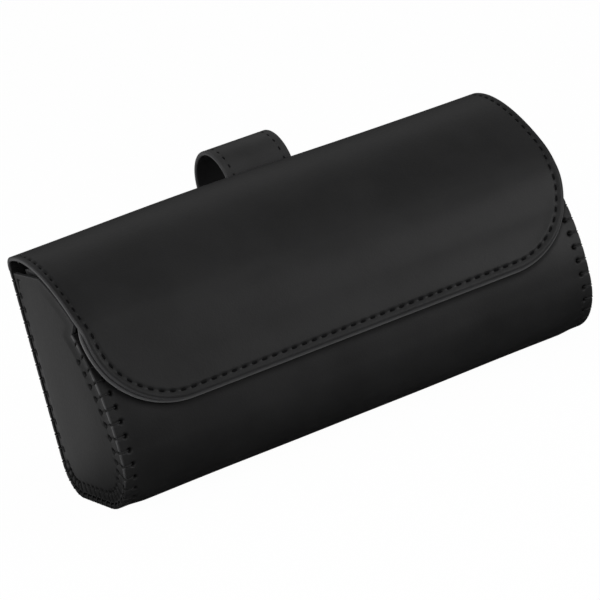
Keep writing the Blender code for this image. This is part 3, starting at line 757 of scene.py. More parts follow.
def press_stitch(flat, top, edge, hole, outward, painted_slit=0.0):
    """Push the upper face of a ply in at a stitch hole and on the way from it to the edge.

    Returns a mask of painted shade in the hole, and also on the way to the edge when that is asked for.
    """
    offset = flat[:, :2] - np.array(hole)
    along = offset @ np.array(outward)
    across = offset @ np.array((-outward[1], outward[0]))
    near = bell(across, CHANNEL_WIDTH)
    way = near * smooth_step((along + HOLE_RADIUS) / HOLE_RADIUS)
    channel = CHANNEL_DEPTH * way
    away = np.hypot(along, across)
    hole_drop = HOLE_DEPTH * (1.0 - smooth_step((away - 0.35 * HOLE_RADIUS) / (0.9 * HOLE_RADIUS)))
    flat[:, 2] -= np.where(top, np.maximum(channel, hole_drop), 0.0)
    rim = NOTCH_DEPTH * near * (1.0 - smooth_step(edge / NOTCH_REACH)) * (along > 0.0)
    flat[:, :2] -= rim[:, None] * np.array(outward)
    # Painted shade: the inside of the hole, and the way to the edge when that is asked for.
    inside = 1.0 - smooth_step((away - 0.6 * HOLE_RADIUS) / (0.5 * HOLE_RADIUS))
    return np.where(top, np.maximum(inside, painted_slit * way), 0.0)


def paint_hole_shade(ply, masks):
    """Keep on the points of a ply which of them get painted shade in a stitch hole."""
    layer = ply.verts.layers.float.new("hole")
    for vert, share in zip(ply.verts, np.max(masks, axis=0)):
        vert[layer] = share


def painted_flap_shadow(finish, where):
    """A mask for the front: 1 along the edge of the closed flap, where its shadow is painted."""
    x, y, z = finish.split(where)
    angle = z.math("ARCTAN2", z - FRONT_CENTRE.y, BACK_Y - FRONT_CENTRE.x - y)
    along = z.math("MAXIMUM", FRONT_RADIUS * (FLAP_END_ANGLE - angle) + CORNER, 0.0)
    across = x.math("MAXIMUM", x.math("ABSOLUTE", x, 0.0) - (END - CORNER), 0.0)
    beyond = z.math("SQRT", across * across + along * along, 0.0) - CORNER
    band = finish.spread(beyond, *FLAP_SHADOW_RISE) * (1 - finish.spread(beyond, *FLAP_SHADOW_FALL))
    front = finish.spread(BACK_Y - y, *FRONT_FADE)
    return FLAP_SHADOW_SHARE * front * band * finish.spread(along, 0.0, FLAP_SHADOW_START)


def up_back(along):
    """0 along the front and the bottom of the wrap, 1 up the back."""
    return smooth_step((along - BOTTOM_RUN[1]) / BACK_FADE)


def square_back(along):
    """How much of its rounding the inner side of the wrap's cut edge has: none up the back."""
    return 1.0 - float(up_back(along))


# The wrap's hide also carries the painted shadow of the flap's edge.
WRAP_HIDE = leather("black_wrap_hide", HIDE_TONE, BURNISH_AND_HIGHLIGHT, painted_flap_shadow)


def make_wrap():
    """Front wall, bottom and back."""
    sides = steps_between(0.0, WRAP.length, SIDE_STEP)
    outline = [(END, s) for s in sides] + [(END, WRAP.length + MARGIN), (-END, WRAP.length + MARGIN)]
    outline += [(-END, s) for s in sides[::-1]] + [(-END, -MARGIN), (END, -MARGIN)]
    mouth = np.cumsum(EDGE_RINGS)
    ply = cut_ply(outline, SEAM_RINGS, steps_between(-FLAT_HALF, FLAT_HALF, ROW_STEP), sides[3::3], HIDE_PLY,
                  trims=((0.0, 1.0), (WRAP.length, -1.0)), lips=mouth)
    layer = ply.verts.layers.float["edge"]
    for vert in ply.verts:
        vert[layer] = min(vert[layer], vert.co.y)
    round_edges(ply, HIDE_PLY, WRAP_ROUND, WRAP_ROUND, square_back)
    flat, top, edge = flat_points(ply, HIDE_PLY)
    # The paler cut stays only along the front, as a painted highlight there; further round it is pushed past.
    highlight_run_share = (flat[:, 1] - EDGE_HIGHLIGHT_RUN[0]) / (EDGE_HIGHLIGHT_RUN[1] - EDGE_HIGHLIGHT_RUN[0])
    for vert, past_highlight in zip(ply.verts, smooth_step(highlight_run_share)):
        vert[layer] += past_highlight * BURNISH_AND_HIGHLIGHT
    from_end = END - np.abs(flat[:, 0])
    dip = RIM_DIP * smooth_step((RIM_WIDTH + RIM_SLOPE - from_end) / RIM_SLOPE)
    free = smooth_step((WRAP.length - flat[:, 1]) / CALM_RUN) * smooth_step(from_end / CALM_RUN)
    flat[:, 2] += WRAP_WAVE * waves(flat[:, 0], flat[:, 1], WRAP_WAVE_LENGTH) * free - dip
    holes = [(side, station) for side in (-1.0, 1.0) for station in SEAM]
    paint_hole_shade(ply, [press_stitch(flat, top, edge, (side * (END - WRAP_HOLE_INSET), station), (side, 0.0))
                     for side, station in holes])
    lay_on(ply, flat, WRAP)
    wrap = finish_piece("hide_wrap", ply, WRAP_HIDE)
    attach(wrap, "case")
    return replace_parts(wrap, "outer_wrap")


make_wrap()
print(len(SEAM), "stitches along each end seam")

# %% [markdown]
# ## The flap
# The same hide goes on round the fold and over the crown, and ends in a flap with two large round corners.
# A row of stitches about three millimetres from its edge pulls the leather down into a groove and leaves a
# soft ridge along the cut. The crown bows up a little in the middle, as stiff hide does over a long fold.
# The piece starts on the flat back just under the fold, where its join can't be seen, and bends between the
# case and the flap when the flap opens.

# %% The flap's outer ply
STITCH_PITCH = 0.0035
STITCH_LENGTH = 0.0018
HEM = 0.0026
SIDE_SHIFT = 0.0006
PLY_STEP = 0.00045
LINING_STEP = 0.00030
RIM_SKIVE = 0.0004
SIDE_SETBACK = 0.0018
SKIVE = 0.0010
SKIVE_WIDTH = 0.0040
GROOVE_DEPTH = 0.00014
RIDGE_HEIGHT = 0.00016
RIDGE_INSET = 0.0011
HEM_SPREAD = 0.0006
STITCH_PULL = 0.00034
FLAP_WAVE = 0.00014
FLAP_WAVE_LENGTH = 0.07
CROWN_BOW = 0.0010
BOW_CENTRE = -0.020
BOW_WIDTH = 0.050
BOW_START = 0.001
BOW_FADE_IN = 0.005
BOW_FADE_OUT = 0.030
SIDE_FADE = 0.010
SEWN_FADE = 0.004
HEM_START = 0.003
HEM_FREE = 0.003
FOLD_BEND = 0.0036
FOLD_CUTS = (0.0003, 0.0057, 0.00027)
FLAP_CUTS = (0.006, FLAP.length - 0.008, 0.0010)
FOLD_RUN = FOLD_AXIS.y - JOIN_HEIGHT + FOLD_RADIUS * (math.pi / 2 - FLAP_RISE)


def flap_outline(start, grow, step):
    """The flap's free edge on the flat pattern: down one side, round the corners and up the other side."""
    half = END + grow
    reach = FLAP.length + grow
    radius = CORNER + grow
    outline = [(half, s) for s in steps_between(start, reach - radius, step)]
    for angle in steps_between(0.0, math.pi / 2, step / radius)[1:]:
        outline.append((half - radius * (1.0 - math.cos(angle)), reach - radius * (1.0 - math.sin(angle))))
    outline += [(x, reach) for x in steps_between(half - radius, 0.0, step)[1:-1]]
    return outline + [(0.0, reach)] + [(-x, s) for x, s in outline[::-1]]


def hem_row(inset, start):
    """Places and directions of the stitches along the flap's free edge, on the flat pattern."""
    line = [Vector(point) for point in flap_outline(start, -inset, OUTLINE_STEP)]
    marks = np.concatenate([[0.0], np.cumsum([(b - a).length for a, b in zip(line, line[1:])])])
    count = round(marks[-1] / STITCH_PITCH)
    row = []
    for index in range(count):
        middle = (index + 0.5) * marks[-1] / count
        run = int(np.searchsorted(marks, middle)) - 1
        way = (line[run + 1] - line[run]).normalized()
        row.append((line[run] + way * (middle - marks[run]), way))
    return row


HEM_ROW = hem_row(HEM + PLY_STEP, FOLD_RUN + HEM_START)


def upper_share(along):
    """1 along the sides of the flap, 0 from where its corners start."""
    return 1.0 - smooth_step((along - FLAP.length + CORNER + SIDE_FADE) / SIDE_FADE)


def widen(row, amount):
    """A row of stitches with its sides moved outwards."""
    return [(Vector((spot.x * (1.0 + amount / END * upper_share(spot.y)), spot.y)), way)
            for spot, way in row]


CUT_ROW = widen(HEM_ROW, SIDE_SHIFT)
SEWN_ROW = widen(CUT_ROW, PLY_STEP)


def pull_down(flat, top, row, depth):
    """Draw the upper face of a ply down under each stitch of a row."""
    for spot, way in row:
        offset = flat[:, :2] - np.array(spot)
        along = offset @ np.array(way)
        across = offset @ np.array((-way.y, way.x))
        held = 1.0 - smooth_step((np.abs(along) - 0.35 * STITCH_LENGTH) / (0.4 * STITCH_LENGTH))
        flat[:, 2] -= np.where(top, depth * held * bell(across, CHANNEL_WIDTH), 0.0)


def make_flap():
    """Fold, crown and flap in one hide."""
    half = END - PLY_STEP
    outline = flap_outline(0.0, -PLY_STEP, 0.00045) + [(-half, -MARGIN), (half, -MARGIN)]
    rows = [*steps_between(*FOLD_CUTS), *steps_between(*FLAP_CUTS)]
    ply = cut_ply(outline, SEAM_RINGS, steps_between(-FLAT_HALF, FLAT_HALF, ROW_STEP), rows, HIDE_PLY,
                  trims=((0.0, 1.0),))
    round_edges(ply, HIDE_PLY, upper=0.0006, lower=0.0005)
    flat, top, edge = flat_points(ply, HIDE_PLY)
    sewn = smooth_step((flat[:, 1] - FOLD_RUN) / SEWN_FADE)
    hem = HEM - SIDE_SHIFT * upper_share(flat[:, 1])
    groove = GROOVE_DEPTH * bell(edge - hem, HEM_SPREAD) - RIDGE_HEIGHT * bell(edge - RIDGE_INSET, HEM_SPREAD)
    flat[:, 2] -= np.where(top, groove * sewn, 0.0)
    pull_down(flat, top, CUT_ROW, STITCH_PULL)
    flat[:, 0] *= 1.0 + PLY_STEP / END * upper_share(flat[:, 1])
    free = smooth_step((flat[:, 1] - FOLD_RUN) / CALM_RUN) * smooth_step((edge - HEM_FREE) / HEM_FREE)
    flat[:, 2] += FLAP_WAVE * waves(flat[:, 0], flat[:, 1], FLAP_WAVE_LENGTH) * free
    crown = smooth_step((flat[:, 1] - BOW_START) / BOW_FADE_IN)
    crown *= smooth_step((FLAP.length - BOW_FADE_OUT - flat[:, 1]) / BOW_FADE_OUT)
    flat[:, 2] += CROWN_BOW * crown * bell(flat[:, 0] - BOW_CENTRE, BOW_WIDTH)
    lay_on(ply, flat, FLAP)
    flap = finish_piece("hide_flap", ply, FLAP_HIDE)
    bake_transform(flap, "case", "flap", start=place(0.0, 0.0, FOLD_AXIS.y), end=place(0.0, FOLD_BEND, FOLD_AXIS.y))
    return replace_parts(flap, "flap_leather", "flap_fold")


make_flap()
print(len(HEM_ROW), "stitches along the flap")

# %% [markdown]
# ## The flap's lining
# A second ply under the flap is sewn in with the same stitches. It stands a little proud of the outer ply,
# so the edge of the flap shows two layers with a dark line between them. Its rim is skived, which is to say
# thinned. Along the sides it is skived more and cut back, to leave room for the end panels. Its inner face
# is suede.

# %% The flap's lining
FLAP_LINING = 0.0016
LINING_START = FOLD_RUN + 0.0025
UNDER_PULL = 0.00016


def skived(across, along):
    """How much thinner the lining is, towards its sides."""
    side = END + LINING_STEP - SIDE_SETBACK * upper_share(along)
    return SKIVE * upper_share(along) * (1.0 - smooth_step((side - np.abs(across)) / SKIVE_WIDTH))


def make_flap_lining():
    half = END + LINING_STEP
    outline = flap_outline(LINING_START, LINING_STEP, 0.0007)
    outline += [(-half, LINING_START - MARGIN), (half, LINING_START - MARGIN)]
    rows = steps_between(LINING_START + 0.004, FLAP.length - 0.004, 0.002)
    ply = cut_ply(outline, SEAM_RINGS[:-2], steps_between(-FLAT_HALF, FLAT_HALF, 0.006), rows, FLAP_LINING,
                  trims=((LINING_START, 1.0),))
    round_edges(ply, FLAP_LINING, upper=0.0005, lower=0.0003)
    flat, top, edge = flat_points(ply, FLAP_LINING)
    flat[:, 0] *= 1.0 - SIDE_SETBACK / half * upper_share(flat[:, 1])
    rim = RIM_SKIVE * (1.0 - smooth_step(edge / SKIVE_WIDTH)) * (1.0 - upper_share(flat[:, 1]))
    flat[:, 2] += np.where(top, 0.0, skived(flat[:, 0], flat[:, 1]) + rim)
    pull_down(flat, ~top, SEWN_ROW, -UNDER_PULL)
    lay_on(ply, flat, FLAP, -HIDE_PLY - GAP)
    lining = finish_piece("suede_flap_lining", ply, SUEDE)
    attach(lining, "flap")
    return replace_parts(lining, "flap_lining")


make_flap_lining()

# %% [markdown]
# ## Stitches
# A stitch is a short stretch of thread that arches out of one hole and into the next. One is spun from a
# small ring, and copies of it are set along each row, lying in the groove that the leather has there.

# %% One stitch and its rows
THREAD_RADIUS = 0.00036
STITCH_ARCH = math.radians(52)
STITCH_SINK = 0.00030
UNDER_SINK = 0.00012


def make_stitch(length):
    """One arched stitch along X that rises in Z, as a mesh to copy."""
    shape = bmesh.new()
    bend = length / 2 / math.sin(STITCH_ARCH)
    bmesh.ops.create_circle(shape, segments=6, radius=THREAD_RADIUS)
    start = Matrix.Rotation(-STITCH_ARCH, 4, "Y") @ Matrix.Translation((0.0, 0.0, bend))
    bmesh.ops.transform(shape, matrix=start @ Matrix.Rotation(math.pi / 2, 4, "Y"), verts=shape.verts)
    bmesh.ops.spin(shape, geom=[*shape.verts, *shape.edges], cent=(0.0, 0.0, 0.0), axis=(0.0, 1.0, 0.0),
                   angle=2 * STITCH_ARCH, steps=6)
    bmesh.ops.holes_fill(shape, edges=shape.edges)
    bmesh.ops.recalc_face_normals(shape, faces=shape.faces)
    bmesh.ops.translate(shape, verts=shape.verts, vec=(0.0, 0.0, -bend))
    bmesh.ops.scale(shape, vec=(1.0, 1.15, 0.75), verts=shape.verts)
    mesh = bpy.data.meshes.new("stitch")
    shape.to_mesh(mesh)
    shape.free()
    return mesh


def sew(name, length, row):
    """A row of stitches from places with the ways along the row and out of the leather."""
    stitch = make_stitch(length)
    shape = bmesh.new()
    for spot, along, facing in row:
        count = len(shape.verts)
        shape.from_mesh(stitch)
        shape.verts.ensure_lookup_table()
        across = facing.cross(along).normalized()
        turn = Matrix((along, across, facing)).transposed().to_4x4()
        bmesh.ops.transform(shape, matrix=Matrix.Translation(spot) @ turn, verts=shape.verts[count:])
    bpy.data.meshes.remove(stitch)
    return finish_piece(name, shape, THREAD)


def on_line(line, row, rises):
    """Take a row of stitches from the flat pattern to its place on a line, some way above it."""
    placed = []
    for (spot, way), rise in zip(row, np.broadcast_to(rises, len(row))):
        ends = []
        for shift in (-0.0005, 0.0, 0.0005):
            point, normal = line.at(np.array(spot.y + shift * way.y))
            forward, up = point + rise * normal
            ends.append(place(spot.x + shift * way.x, forward, up))
        out = place(0.0, *normal) - place(0.0, 0.0, 0.0)
        out = (out if rise > -HIDE_PLY else -out).normalized()
        along = (ends[2] - ends[0]).normalized()
        out = (out - out.dot(along) * along).normalized()
        placed.append((ends[1], along, out))
    return placed


def sew_flap():
    """The row along the flap's edge, outside and on the lining."""
    under = [float(skived(spot.x, spot.y)) - HIDE_PLY - GAP - FLAP_LINING + UNDER_SINK
             for spot, _ in SEWN_ROW]
    for name, rises in (("flap_stitches", -STITCH_SINK), ("flap_stitches_inside", under)):
        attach(sew(name, STITCH_LENGTH, on_line(FLAP, SEWN_ROW, rises)), "flap")


sew_flap()

# %% [markdown]
# ## End panels
# Each end is closed by a flat leather panel, a little inside the ends of the wrap. Its outline follows the
# wrap and leaves a narrow gap under the flap. It bows out very slightly, as a panel does that is sewn all
# round, and carries the second row of stitch holes.

# %% End panels
PANEL_INSET = 0.00245
PANEL_FACE = 0.08475
PANEL_HOLE_INSET = 0.00555
PANEL_BACK_INSET = 0.0040
PANEL_BOW = 0.0007
PANEL_MIDDLE = (0.022, 0.036)
PANEL_SPREAD = (0.026, 0.040)
PANEL_ROUND = 0.00035
PANEL_CUTS = (np.arange(0.008, 0.045, 0.003), np.arange(0.008, 0.072, 0.003))
FLAP_DEPTH = HIDE_PLY + GAP + FLAP_LINING
PANEL_TOP_GAP = 0.0004
LINING_TOP_GAP = 0.0008
PANEL_RINGS = SEAM_RINGS[:-4]
CORNER_TURN = math.radians(10)
PANEL_TIP = math.radians(0.5)
BACK_TOP = 0.0728
SIDES = (("left", -1), ("right", 1))


def clear_corners(outline, reach):
    """Drop the points beside each corner of an outline that insets of this reach would carry past it."""
    corners = []
    for before, here, after in zip(outline[-1:] + outline[:-1], outline, outline[1:] + outline[:1]):
        turn = (here - before).angle_signed(after - here)
        if turn > CORNER_TURN:
            corners.append((here, 1.1 * reach * math.tan(turn / 2)))
    return [point for point in outline
            if all(point is corner or (point - corner).length > clear for corner, clear in corners)]


def panel_outline(inset, below, step):
    """An end panel's outline in the section, from the mouth round to the back and over the top."""
    points, normals = WRAP.at(steps_between(0.0, WRAP.length - (JOIN_HEIGHT - BACK_TOP), step))
    outline = [Vector(point) for point in points - inset * normals]
    points, normals = FLAP.at(steps_between(FOLD_RUN, FOLD_RUN + 0.050, step))
    for forward, up in points - below * normals:
        ray = Vector((forward, up)) - FRONT_CENTRE
        if math.atan2(ray.y, ray.x) > MOUTH_ANGLE + PANEL_TIP:
            outline.append(Vector((max(forward, inset + step), min(up, BACK_TOP))))
    tidy = [outline[0]]
    for point in outline[1:]:
        if (point - tidy[-1]).length > 0.4 * step:
            tidy.append(point)
    return clear_corners(tidy, sum(PANEL_RINGS))


def panel_hole_inset(station):
    """How far inside the wrap's face the panel's stitch holes are: nearer to it up the back."""
    return PANEL_HOLE_INSET + (PANEL_BACK_INSET - PANEL_HOLE_INSET) * up_back(station)


def panel_holes():
    """Stitch holes of a panel, opposite those of the wrap but the first, with the ways out to its edge.

    Round the bottom, where the stitches are close, each way out to the edge gets painted shade too.
    """
    stations = SEAM[1:]
    points, normals = WRAP.at(stations)
    painted_slits = (stations > BOTTOM_RUN[0]) & (stations < BOTTOM_RUN[1])
    return list(zip(points - panel_hole_inset(stations)[:, None] * normals, normals, painted_slits))


def make_panel(name, side, inset, below, face, thickness, look, holes):
    """A flat panel across the end, drawn in the section and stood up at its place along the case."""
    outline = [(point.x, point.y) for point in panel_outline(inset, below, OUTLINE_STEP)]
    ply = cut_ply(outline[::-1], PANEL_RINGS, *PANEL_CUTS, thickness)
    round_edges(ply, thickness, PANEL_ROUND, PANEL_ROUND)
    flat, top, edge = flat_points(ply, thickness)
    if holes:
        paint_hole_shade(ply, [press_stitch(flat, top, edge, *hole) for hole in holes])
    off_middle = (flat[:, :2] - PANEL_MIDDLE) / PANEL_SPREAD
    middle = 1.0 - np.hypot(off_middle[:, 0], off_middle[:, 1]) ** 2
    flat[:, 2] += PANEL_BOW * smooth_step(middle) * smooth_step(edge / sum(PANEL_RINGS))
    for vert, (forward, up, rise) in zip(ply.verts, flat):
        vert.co = place(side * (face + rise), forward, up)
    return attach(finish_piece(name, ply, look), "case")


for WORD, SIDE in SIDES:
    PANEL = make_panel(f"{WORD}_end_panel", SIDE, PANEL_INSET, FLAP_DEPTH - SKIVE + PANEL_TOP_GAP, PANEL_FACE,
                       HIDE_PLY, HIDE, panel_holes())
    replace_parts(PANEL, f"{WORD}_gusset")

# %% [markdown]
# ## End seams
# The panels are whipped to the wrap by hand: the thread comes out of the hide, goes over its cut edge and
# into the panel, and runs on inside to the next hole. A curve with a round bevel follows that path, and
# cutting its corners twice makes the thread turn softly.

# %% End seams
SEAM_THREAD = 0.00029
SEAM_SINK = 0.00020
SLIT_SINK = 0.00060


def soften(points):
    """Cut the corners of a path twice, keeping its ends."""
    for _ in range(2):
        cut = [points[0]]
        for here, there in zip(points, points[1:]):
            cut += [here.lerp(there, 0.25), here.lerp(there, 0.75)]
        points = cut + [points[-1]]
    return points


def seam_place(side, station, x, inset):
    point, normal = WRAP.at(np.array(station))
    return place(side * x, *(point - inset * normal))


def seam_path(side):
    """The corners of the thread's way from stitch to stitch, each as a place along the case and a depth."""
    skin = RIM_DIP + SEAM_SINK
    under = RIM_DIP + HIDE_PLY + SEAM_THREAD
    hole = END - WRAP_HOLE_INSET
    inside = PANEL_FACE - HIDE_PLY - SEAM_THREAD
    path = []
    for station in SEAM:
        panel_hole = float(panel_hole_inset(station))
        close = BOTTOM_RUN[0] < station < BOTTOM_RUN[1]
        outside = PANEL_FACE - (SLIT_SINK if close else SEAM_SINK)
        out_of_hide = [(hole, under), (hole + 0.0002, skin + 0.0006), (hole + 0.0008, skin)]
        over_edge = [(END - 0.0004, skin), (END, skin + 0.0003), (END, RIM_DIP + HIDE_PLY - 0.0001)]
        on_panel = [(outside, PANEL_INSET + 0.0004), (outside, panel_hole - 0.0010)]
        into_panel = [(outside - 0.0008, panel_hole - 0.0002), (inside, panel_hole)]
        path += [seam_place(side, station, x, inset)
                 for x, inset in out_of_hide + over_edge + on_panel + into_panel]
    return soften(path)


def make_seam(name, side):
    path = seam_path(side)
    curve = bpy.data.curves.new(name, "CURVE")
    curve.dimensions = "3D"
    curve.bevel_depth = SEAM_THREAD
    curve.bevel_resolution = 1
    curve.use_fill_caps = True
    spline = curve.splines.new("POLY")
    spline.points.add(len(path) - 1)
    for point, spot in zip(spline.points, path):
        point.co = (*spot, 1.0)
    curve.materials.append(SEAM_YARN)
    thread = bpy.data.objects.new(name, curve)
    bpy.context.scene.collection.objects.link(thread)
    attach(thread, "case")
    print(f"{name}: {len(path)} points")
    return thread


for WORD, SIDE in SIDES:
    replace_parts(make_seam(f"{WORD}_whip_stitches", SIDE), f"{WORD}_seam_thread")

# %% [markdown]
# ## The lining inside
# Suede lines the wrap and the end panels. At the mouth it is turned over the edge of the board, so no
# board shows when the flap is up. The turned edge is part of the lining's own line.

# %% Lining of the body
LINING_DEPTH = 0.0032
SUEDE_PLY = 0.0008
LINING_END = 0.0810
TURN_RADIUS = 0.0009
END_LINING_INSET = 0.0043
LINING_WAVE = 0.00025
LINING_WAVE_LENGTH = 0.05


def lining_line():
    """The outside of the lining: over the board's edge at the mouth, then along inside the wrap."""
    radius = FRONT_RADIUS - LINING_DEPTH
    facing = Vector((math.cos(MOUTH_ANGLE), math.sin(MOUTH_ANGLE)))
    upward = Vector((-facing.y, facing.x))
    corner = FRONT_CENTRE + (radius + TURN_RADIUS) * facing
    lip = FRONT_CENTRE + (FRONT_RADIUS - HIDE_PLY) * facing
    line = Line().run(lip, corner, -upward)
    centre = corner - TURN_RADIUS * upward
    line.arc(centre, TURN_RADIUS, MOUTH_ANGLE + math.pi / 2, MOUTH_ANGLE + math.pi, -1.0)
    start = math.atan2(*(Vector(line.points[-1]) - FRONT_CENTRE).yx)
    line.arc(FRONT_CENTRE, radius, start, 0.0)
    line.arc((DEPTH - TOE_RADIUS, TOE_RADIUS), TOE_RADIUS - LINING_DEPTH, 0.0, -math.pi / 2)
    line.arc((HEEL_RADIUS, HEEL_RADIUS), HEEL_RADIUS - LINING_DEPTH, -math.pi / 2, -math.pi)
    line.run((LINING_DEPTH, HEEL_RADIUS), (LINING_DEPTH, BACK_TOP), (-1.0, 0.0))
    return line.measure()


def make_lining():
    line = lining_line()
    rows = steps_between(0.0, line.length, 0.0008)
    ends = steps_between(-LINING_END, LINING_END, 0.004)
    outline = [(x, 0.0) for x in ends] + [(LINING_END, s) for s in rows[1:]]
    outline += [(x, line.length) for x in ends[-2::-1]] + [(-LINING_END, s) for s in rows[-2:0:-1]]
    ply = cut_ply(outline, EDGE_RINGS, ends[1:-1], rows[1:-1], SUEDE_PLY)
    round_edges(ply, SUEDE_PLY, PANEL_ROUND, PANEL_ROUND)
    flat = flat_points(ply, SUEDE_PLY)[0]
    free = smooth_step((flat[:, 1] - 0.008) / CALM_RUN) * smooth_step((line.length - flat[:, 1]) / CALM_RUN)
    flat[:, 2] -= LINING_WAVE * (1.0 + waves(flat[:, 0], flat[:, 1], LINING_WAVE_LENGTH)) * free
    lay_on(ply, flat, line)
    lining = finish_piece("suede_lining", ply, SUEDE)
    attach(lining, "case")
    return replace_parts(lining, "wrap_lining")


make_lining()
for WORD, SIDE in SIDES:
    PANEL = make_panel(f"{WORD}_end_lining", SIDE, END_LINING_INSET, FLAP_DEPTH + LINING_TOP_GAP, LINING_END,
                       SUEDE_PLY, SUEDE, [])
    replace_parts(PANEL, f"{WORD}_gusset_lining")

# %% [markdown]
# ## The strap
# The loop on the back is one strap: its front leg is sewn to the back, it arches over behind the top edge,
# and its tail comes down and closes with a press stud. The leg and the arch with the tail are two pieces,
# joined on the straight part of the leg, so that the second can bend where the tail swings open.

# %% The strap
STRAP_CENTRE = 0.0061
STRAP_HALF = 0.01185
STRAP_PLY = 0.0014
STRAP_FRONT = -0.0012
STRAP_REAR = -0.0258
ARCH_HEIGHT = 0.0726
STRAP_JOIN = 0.0725
STRAP_FOOT = 0.0120
TAIL_AXIS = 0.0710
TAIL_TOP = 0.0520
TAIL_LOW = 0.0300
TAIL_SEAT = -0.0055
TAIL_END = 0.0125
TAIL_BEND = 0.0014
STRAP_HEM = 0.0026
STRAP_GROOVE = 0.00012
STRAP_SPREAD = 0.0005
STRAP_ROUND = 0.0006
LEG_CORNER = 0.0055
TAIL_CORNER = 0.006
TAIL_PULLS = (0.467, 0.467)
STRAP_CUTS = steps_between(-0.006, 0.006, 0.003)


def leg_line():
    return Line().run((STRAP_FRONT, STRAP_FOOT), (STRAP_FRONT, STRAP_JOIN), (-1.0, 0.0)).measure()


def tail_line():
    """The middle of the strap from the join, over the arch and down the tail."""
    middle = (STRAP_FRONT + STRAP_REAR) / 2
    line = Line().run((STRAP_FRONT, STRAP_JOIN), (STRAP_FRONT, ARCH_HEIGHT), (1.0, 0.0))
    line.arc((middle, ARCH_HEIGHT), (STRAP_FRONT - STRAP_REAR) / 2, 0.0, math.pi)
    line.run((STRAP_REAR, ARCH_HEIGHT), (STRAP_REAR, TAIL_TOP), (-1.0, 0.0))
    top = Vector((STRAP_REAR, TAIL_TOP))
    low = Vector((TAIL_SEAT, TAIL_LOW))
    down = Vector((0.0, -1.0))
    line.bend(top, down, low, down, TAIL_PULLS, -1.0)
    line.run((TAIL_SEAT, TAIL_LOW), (TAIL_SEAT, TAIL_END), (-1.0, 0.0))
    return line.measure()


LEG = leg_line()
TAIL = tail_line()


def strap_outline(length, corner, step):
    """A strip with round corners at its far end, drawn past its near end."""
    half = STRAP_HALF
    outline = [(half, s) for s in steps_between(0.0, length - corner, step)]
    for angle in steps_between(0.0, math.pi / 2, step / corner)[1:]:
        outline.append((half - corner * (1.0 - math.cos(angle)), length - corner * (1.0 - math.sin(angle))))
    return [(half, -MARGIN)] + outline + [(-x, s) for x, s in outline[::-1]] + [(-half, -MARGIN)]


def make_strap_piece(name, line, corner, flip):
    """A strip of strap laid along a line, rounded at its free end."""
    outline = strap_outline(line.length, corner, 0.0006)
    rows = steps_between(0.001, line.length - 0.005, 0.0009)
    ply = cut_ply(outline, SEAM_RINGS[:-3], STRAP_CUTS, rows, STRAP_PLY, trims=((0.0, 1.0),))
    round_edges(ply, STRAP_PLY, STRAP_ROUND, STRAP_ROUND)
    flat, top, edge = flat_points(ply, STRAP_PLY)
    flat[:, 2] -= np.where(top, STRAP_GROOVE * bell(edge - STRAP_HEM, STRAP_SPREAD), 0.0)
    if flip:
        flat[:, 1] = line.length - flat[:, 1]
    flat[:, 0] += STRAP_CENTRE
    lay_on(ply, flat, line, STRAP_PLY / 2)
    return finish_piece(name, ply, STRAP_HIDE)


LEG_PIECE = make_strap_piece("strap_leg", LEG, LEG_CORNER, True)
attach(LEG_PIECE, "case")
TAIL_PIECE = make_strap_piece("strap_loop", TAIL, TAIL_CORNER, False)
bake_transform(TAIL_PIECE, "case", "strap_tail", start=place(0.0, STRAP_REAR, TAIL_AXIS + TAIL_BEND),
         end=place(0.0, STRAP_REAR, TAIL_AXIS - TAIL_BEND))
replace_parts(TAIL_PIECE, "strap_anchor", "strap_tail")

# %% [markdown]
# ## The strap's stitches
# Two rows of stitches run along the strap. Those on the leg also sew it to the back of the case.

# %% Stitches along the strap
HINGE_MARK = (ARCH_HEIGHT - STRAP_JOIN) + math.pi * (STRAP_FRONT - STRAP_REAR) / 2 + ARCH_HEIGHT - TAIL_AXIS
HINGE_FREE = 0.003
STRAP_STITCH_RISE = STRAP_PLY / 2 - 0.00022


def strap_rows(low, high):
    """Two rows of stitch places along a strap, on its flat pattern."""
    count = max(2, round((high - low) / STITCH_PITCH))
    row = []
    for x in (STRAP_HEM - STRAP_HALF, STRAP_HALF - STRAP_HEM):
        for index in range(count):
            spot = Vector((STRAP_CENTRE + x, low + (index + 0.5) * (high - low) / count))
            row.append((spot, Vector((0.0, 1.0))))
    return row


for NAME, LINE, LOW, HIGH, BODY in (
        ("strap_leg_stitches", LEG, 0.004, LEG.length, "case"),
        ("strap_arch_stitches", TAIL, 0.0, HINGE_MARK - HINGE_FREE, "case"),
        ("strap_tail_stitches", TAIL, HINGE_MARK + HINGE_FREE, TAIL.length - 0.005, "strap_tail")):
    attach(sew(NAME, STITCH_LENGTH, on_line(LINE, strap_rows(LOW, HIGH), STRAP_STITCH_RISE)), BODY)

# %% [markdown]
# ## The press stud
# Post and stud sit on the sewn leg, socket and domed cap on the tail. Each is turned from a profile about
# the stud's axis, the way these small parts are formed from sheet.

# %% The press stud
STUD_HEIGHT = 0.021
STUD_SIDES = 48
PROFILES = (
    ("stud_post", "case", False, ((0.0, -0.0003), (0.0037, -0.0003), (0.0040, -0.0005), (0.0040, -0.0007),
                                  (0.0014, -0.0007), (0.0014, -0.0035), (0.0012, -0.0036), (0.0, -0.0036))),
    ("stud_ball", "case", True, ((0.0017, -0.0024), (0.0039, -0.0024), (0.0040, -0.0026), (0.0039, -0.0029),
                                 (0.0028, -0.0029), (0.00255, -0.0031), (0.0026, -0.0034),
                                 (0.0023, -0.0036), (0.0017, -0.0037))),
    ("stud_socket", "strap_tail", True, ((0.0030, -0.0032), (0.0044, -0.0032), (0.0046, -0.0034),
                                         (0.0046, -0.0042), (0.0045, -0.0043), (0.0017, -0.0043),
                                         (0.0017, -0.0040), (0.0029, -0.0040))),
)


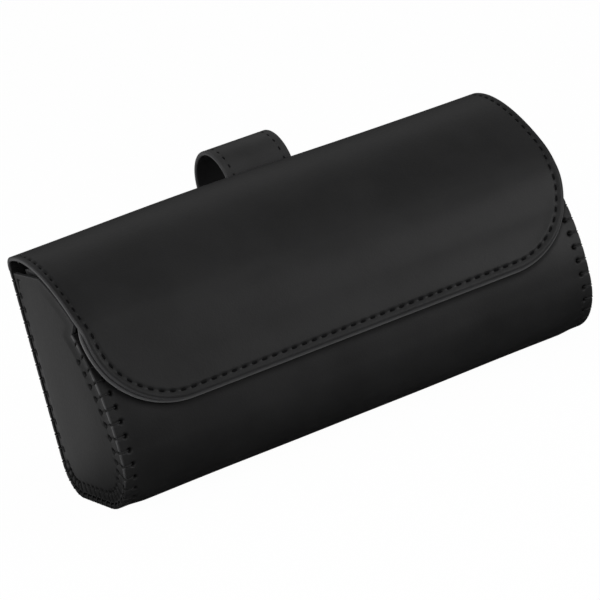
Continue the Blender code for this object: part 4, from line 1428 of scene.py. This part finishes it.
def cap_profile():
    """The cap: a shank, a flat rim and a shallow dome."""
    profile = [(0.0, -0.0040), (0.0014, -0.0040), (0.0014, -0.0067), (0.0050, -0.0067), (0.0052, -0.0069)]
    for angle in np.linspace(0.0, math.pi / 2, 9):
        profile.append((0.0052 * math.cos(angle), -0.0071 - 0.0011 * math.sin(angle)))
    profile[-1] = (0.0, profile[-1][1])
    return tuple(profile)


def turn_stud(name, body, closed, profile):
    """Spin a profile of radius against place forward about the stud's axis."""
    shape = bmesh.new()
    verts = [shape.verts.new((radius, 0.0, forward)) for radius, forward in profile]
    edges = [shape.edges.new(pair) for pair in zip(verts, verts[1:])]
    if closed:
        edges.append(shape.edges.new((verts[-1], verts[0])))
    bmesh.ops.spin(shape, geom=verts + edges, cent=(0.0, 0.0, 0.0), axis=(0.0, 0.0, 1.0), angle=2 * math.pi,
                   steps=STUD_SIDES, use_merge=True)
    bmesh.ops.remove_doubles(shape, verts=shape.verts, dist=0.00001)
    bmesh.ops.recalc_face_normals(shape, faces=shape.faces)
    stand = Matrix.Translation(place(STRAP_CENTRE, 0.0, STUD_HEIGHT)) @ Matrix.Rotation(math.pi / 2, 4, "X")
    bmesh.ops.transform(shape, matrix=stand, verts=shape.verts)
    piece = finish_piece("turned_" + name, shape, NICKEL)
    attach(piece, body)
    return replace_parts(piece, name)


for NAME, BODY, CLOSED, PROFILE in (*PROFILES, ("stud_cap", "strap_tail", False, cap_profile())):
    turn_stud(NAME, BODY, CLOSED, PROFILE)

# %% [markdown]
# ## Pieces inside the walls
# The boards, the magnets and their keepers stay as the frame has them, hidden between leather and suede.
# They still get finishes of their own.

# %% Hidden pieces
HIDDEN = {
    BOARD: ("wrap_board", "left_gusset_board", "right_gusset_board"),
    STEEL: ("left_keeper", "right_keeper"),
    PLATING: ("left_magnet", "right_magnet"),
}
for LOOK, NODES in HIDDEN.items():
    for NODE in NODES:
        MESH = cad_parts[NODE].data
        MESH.materials.clear()
        MESH.materials.append(LOOK)
print("hidden pieces finished")
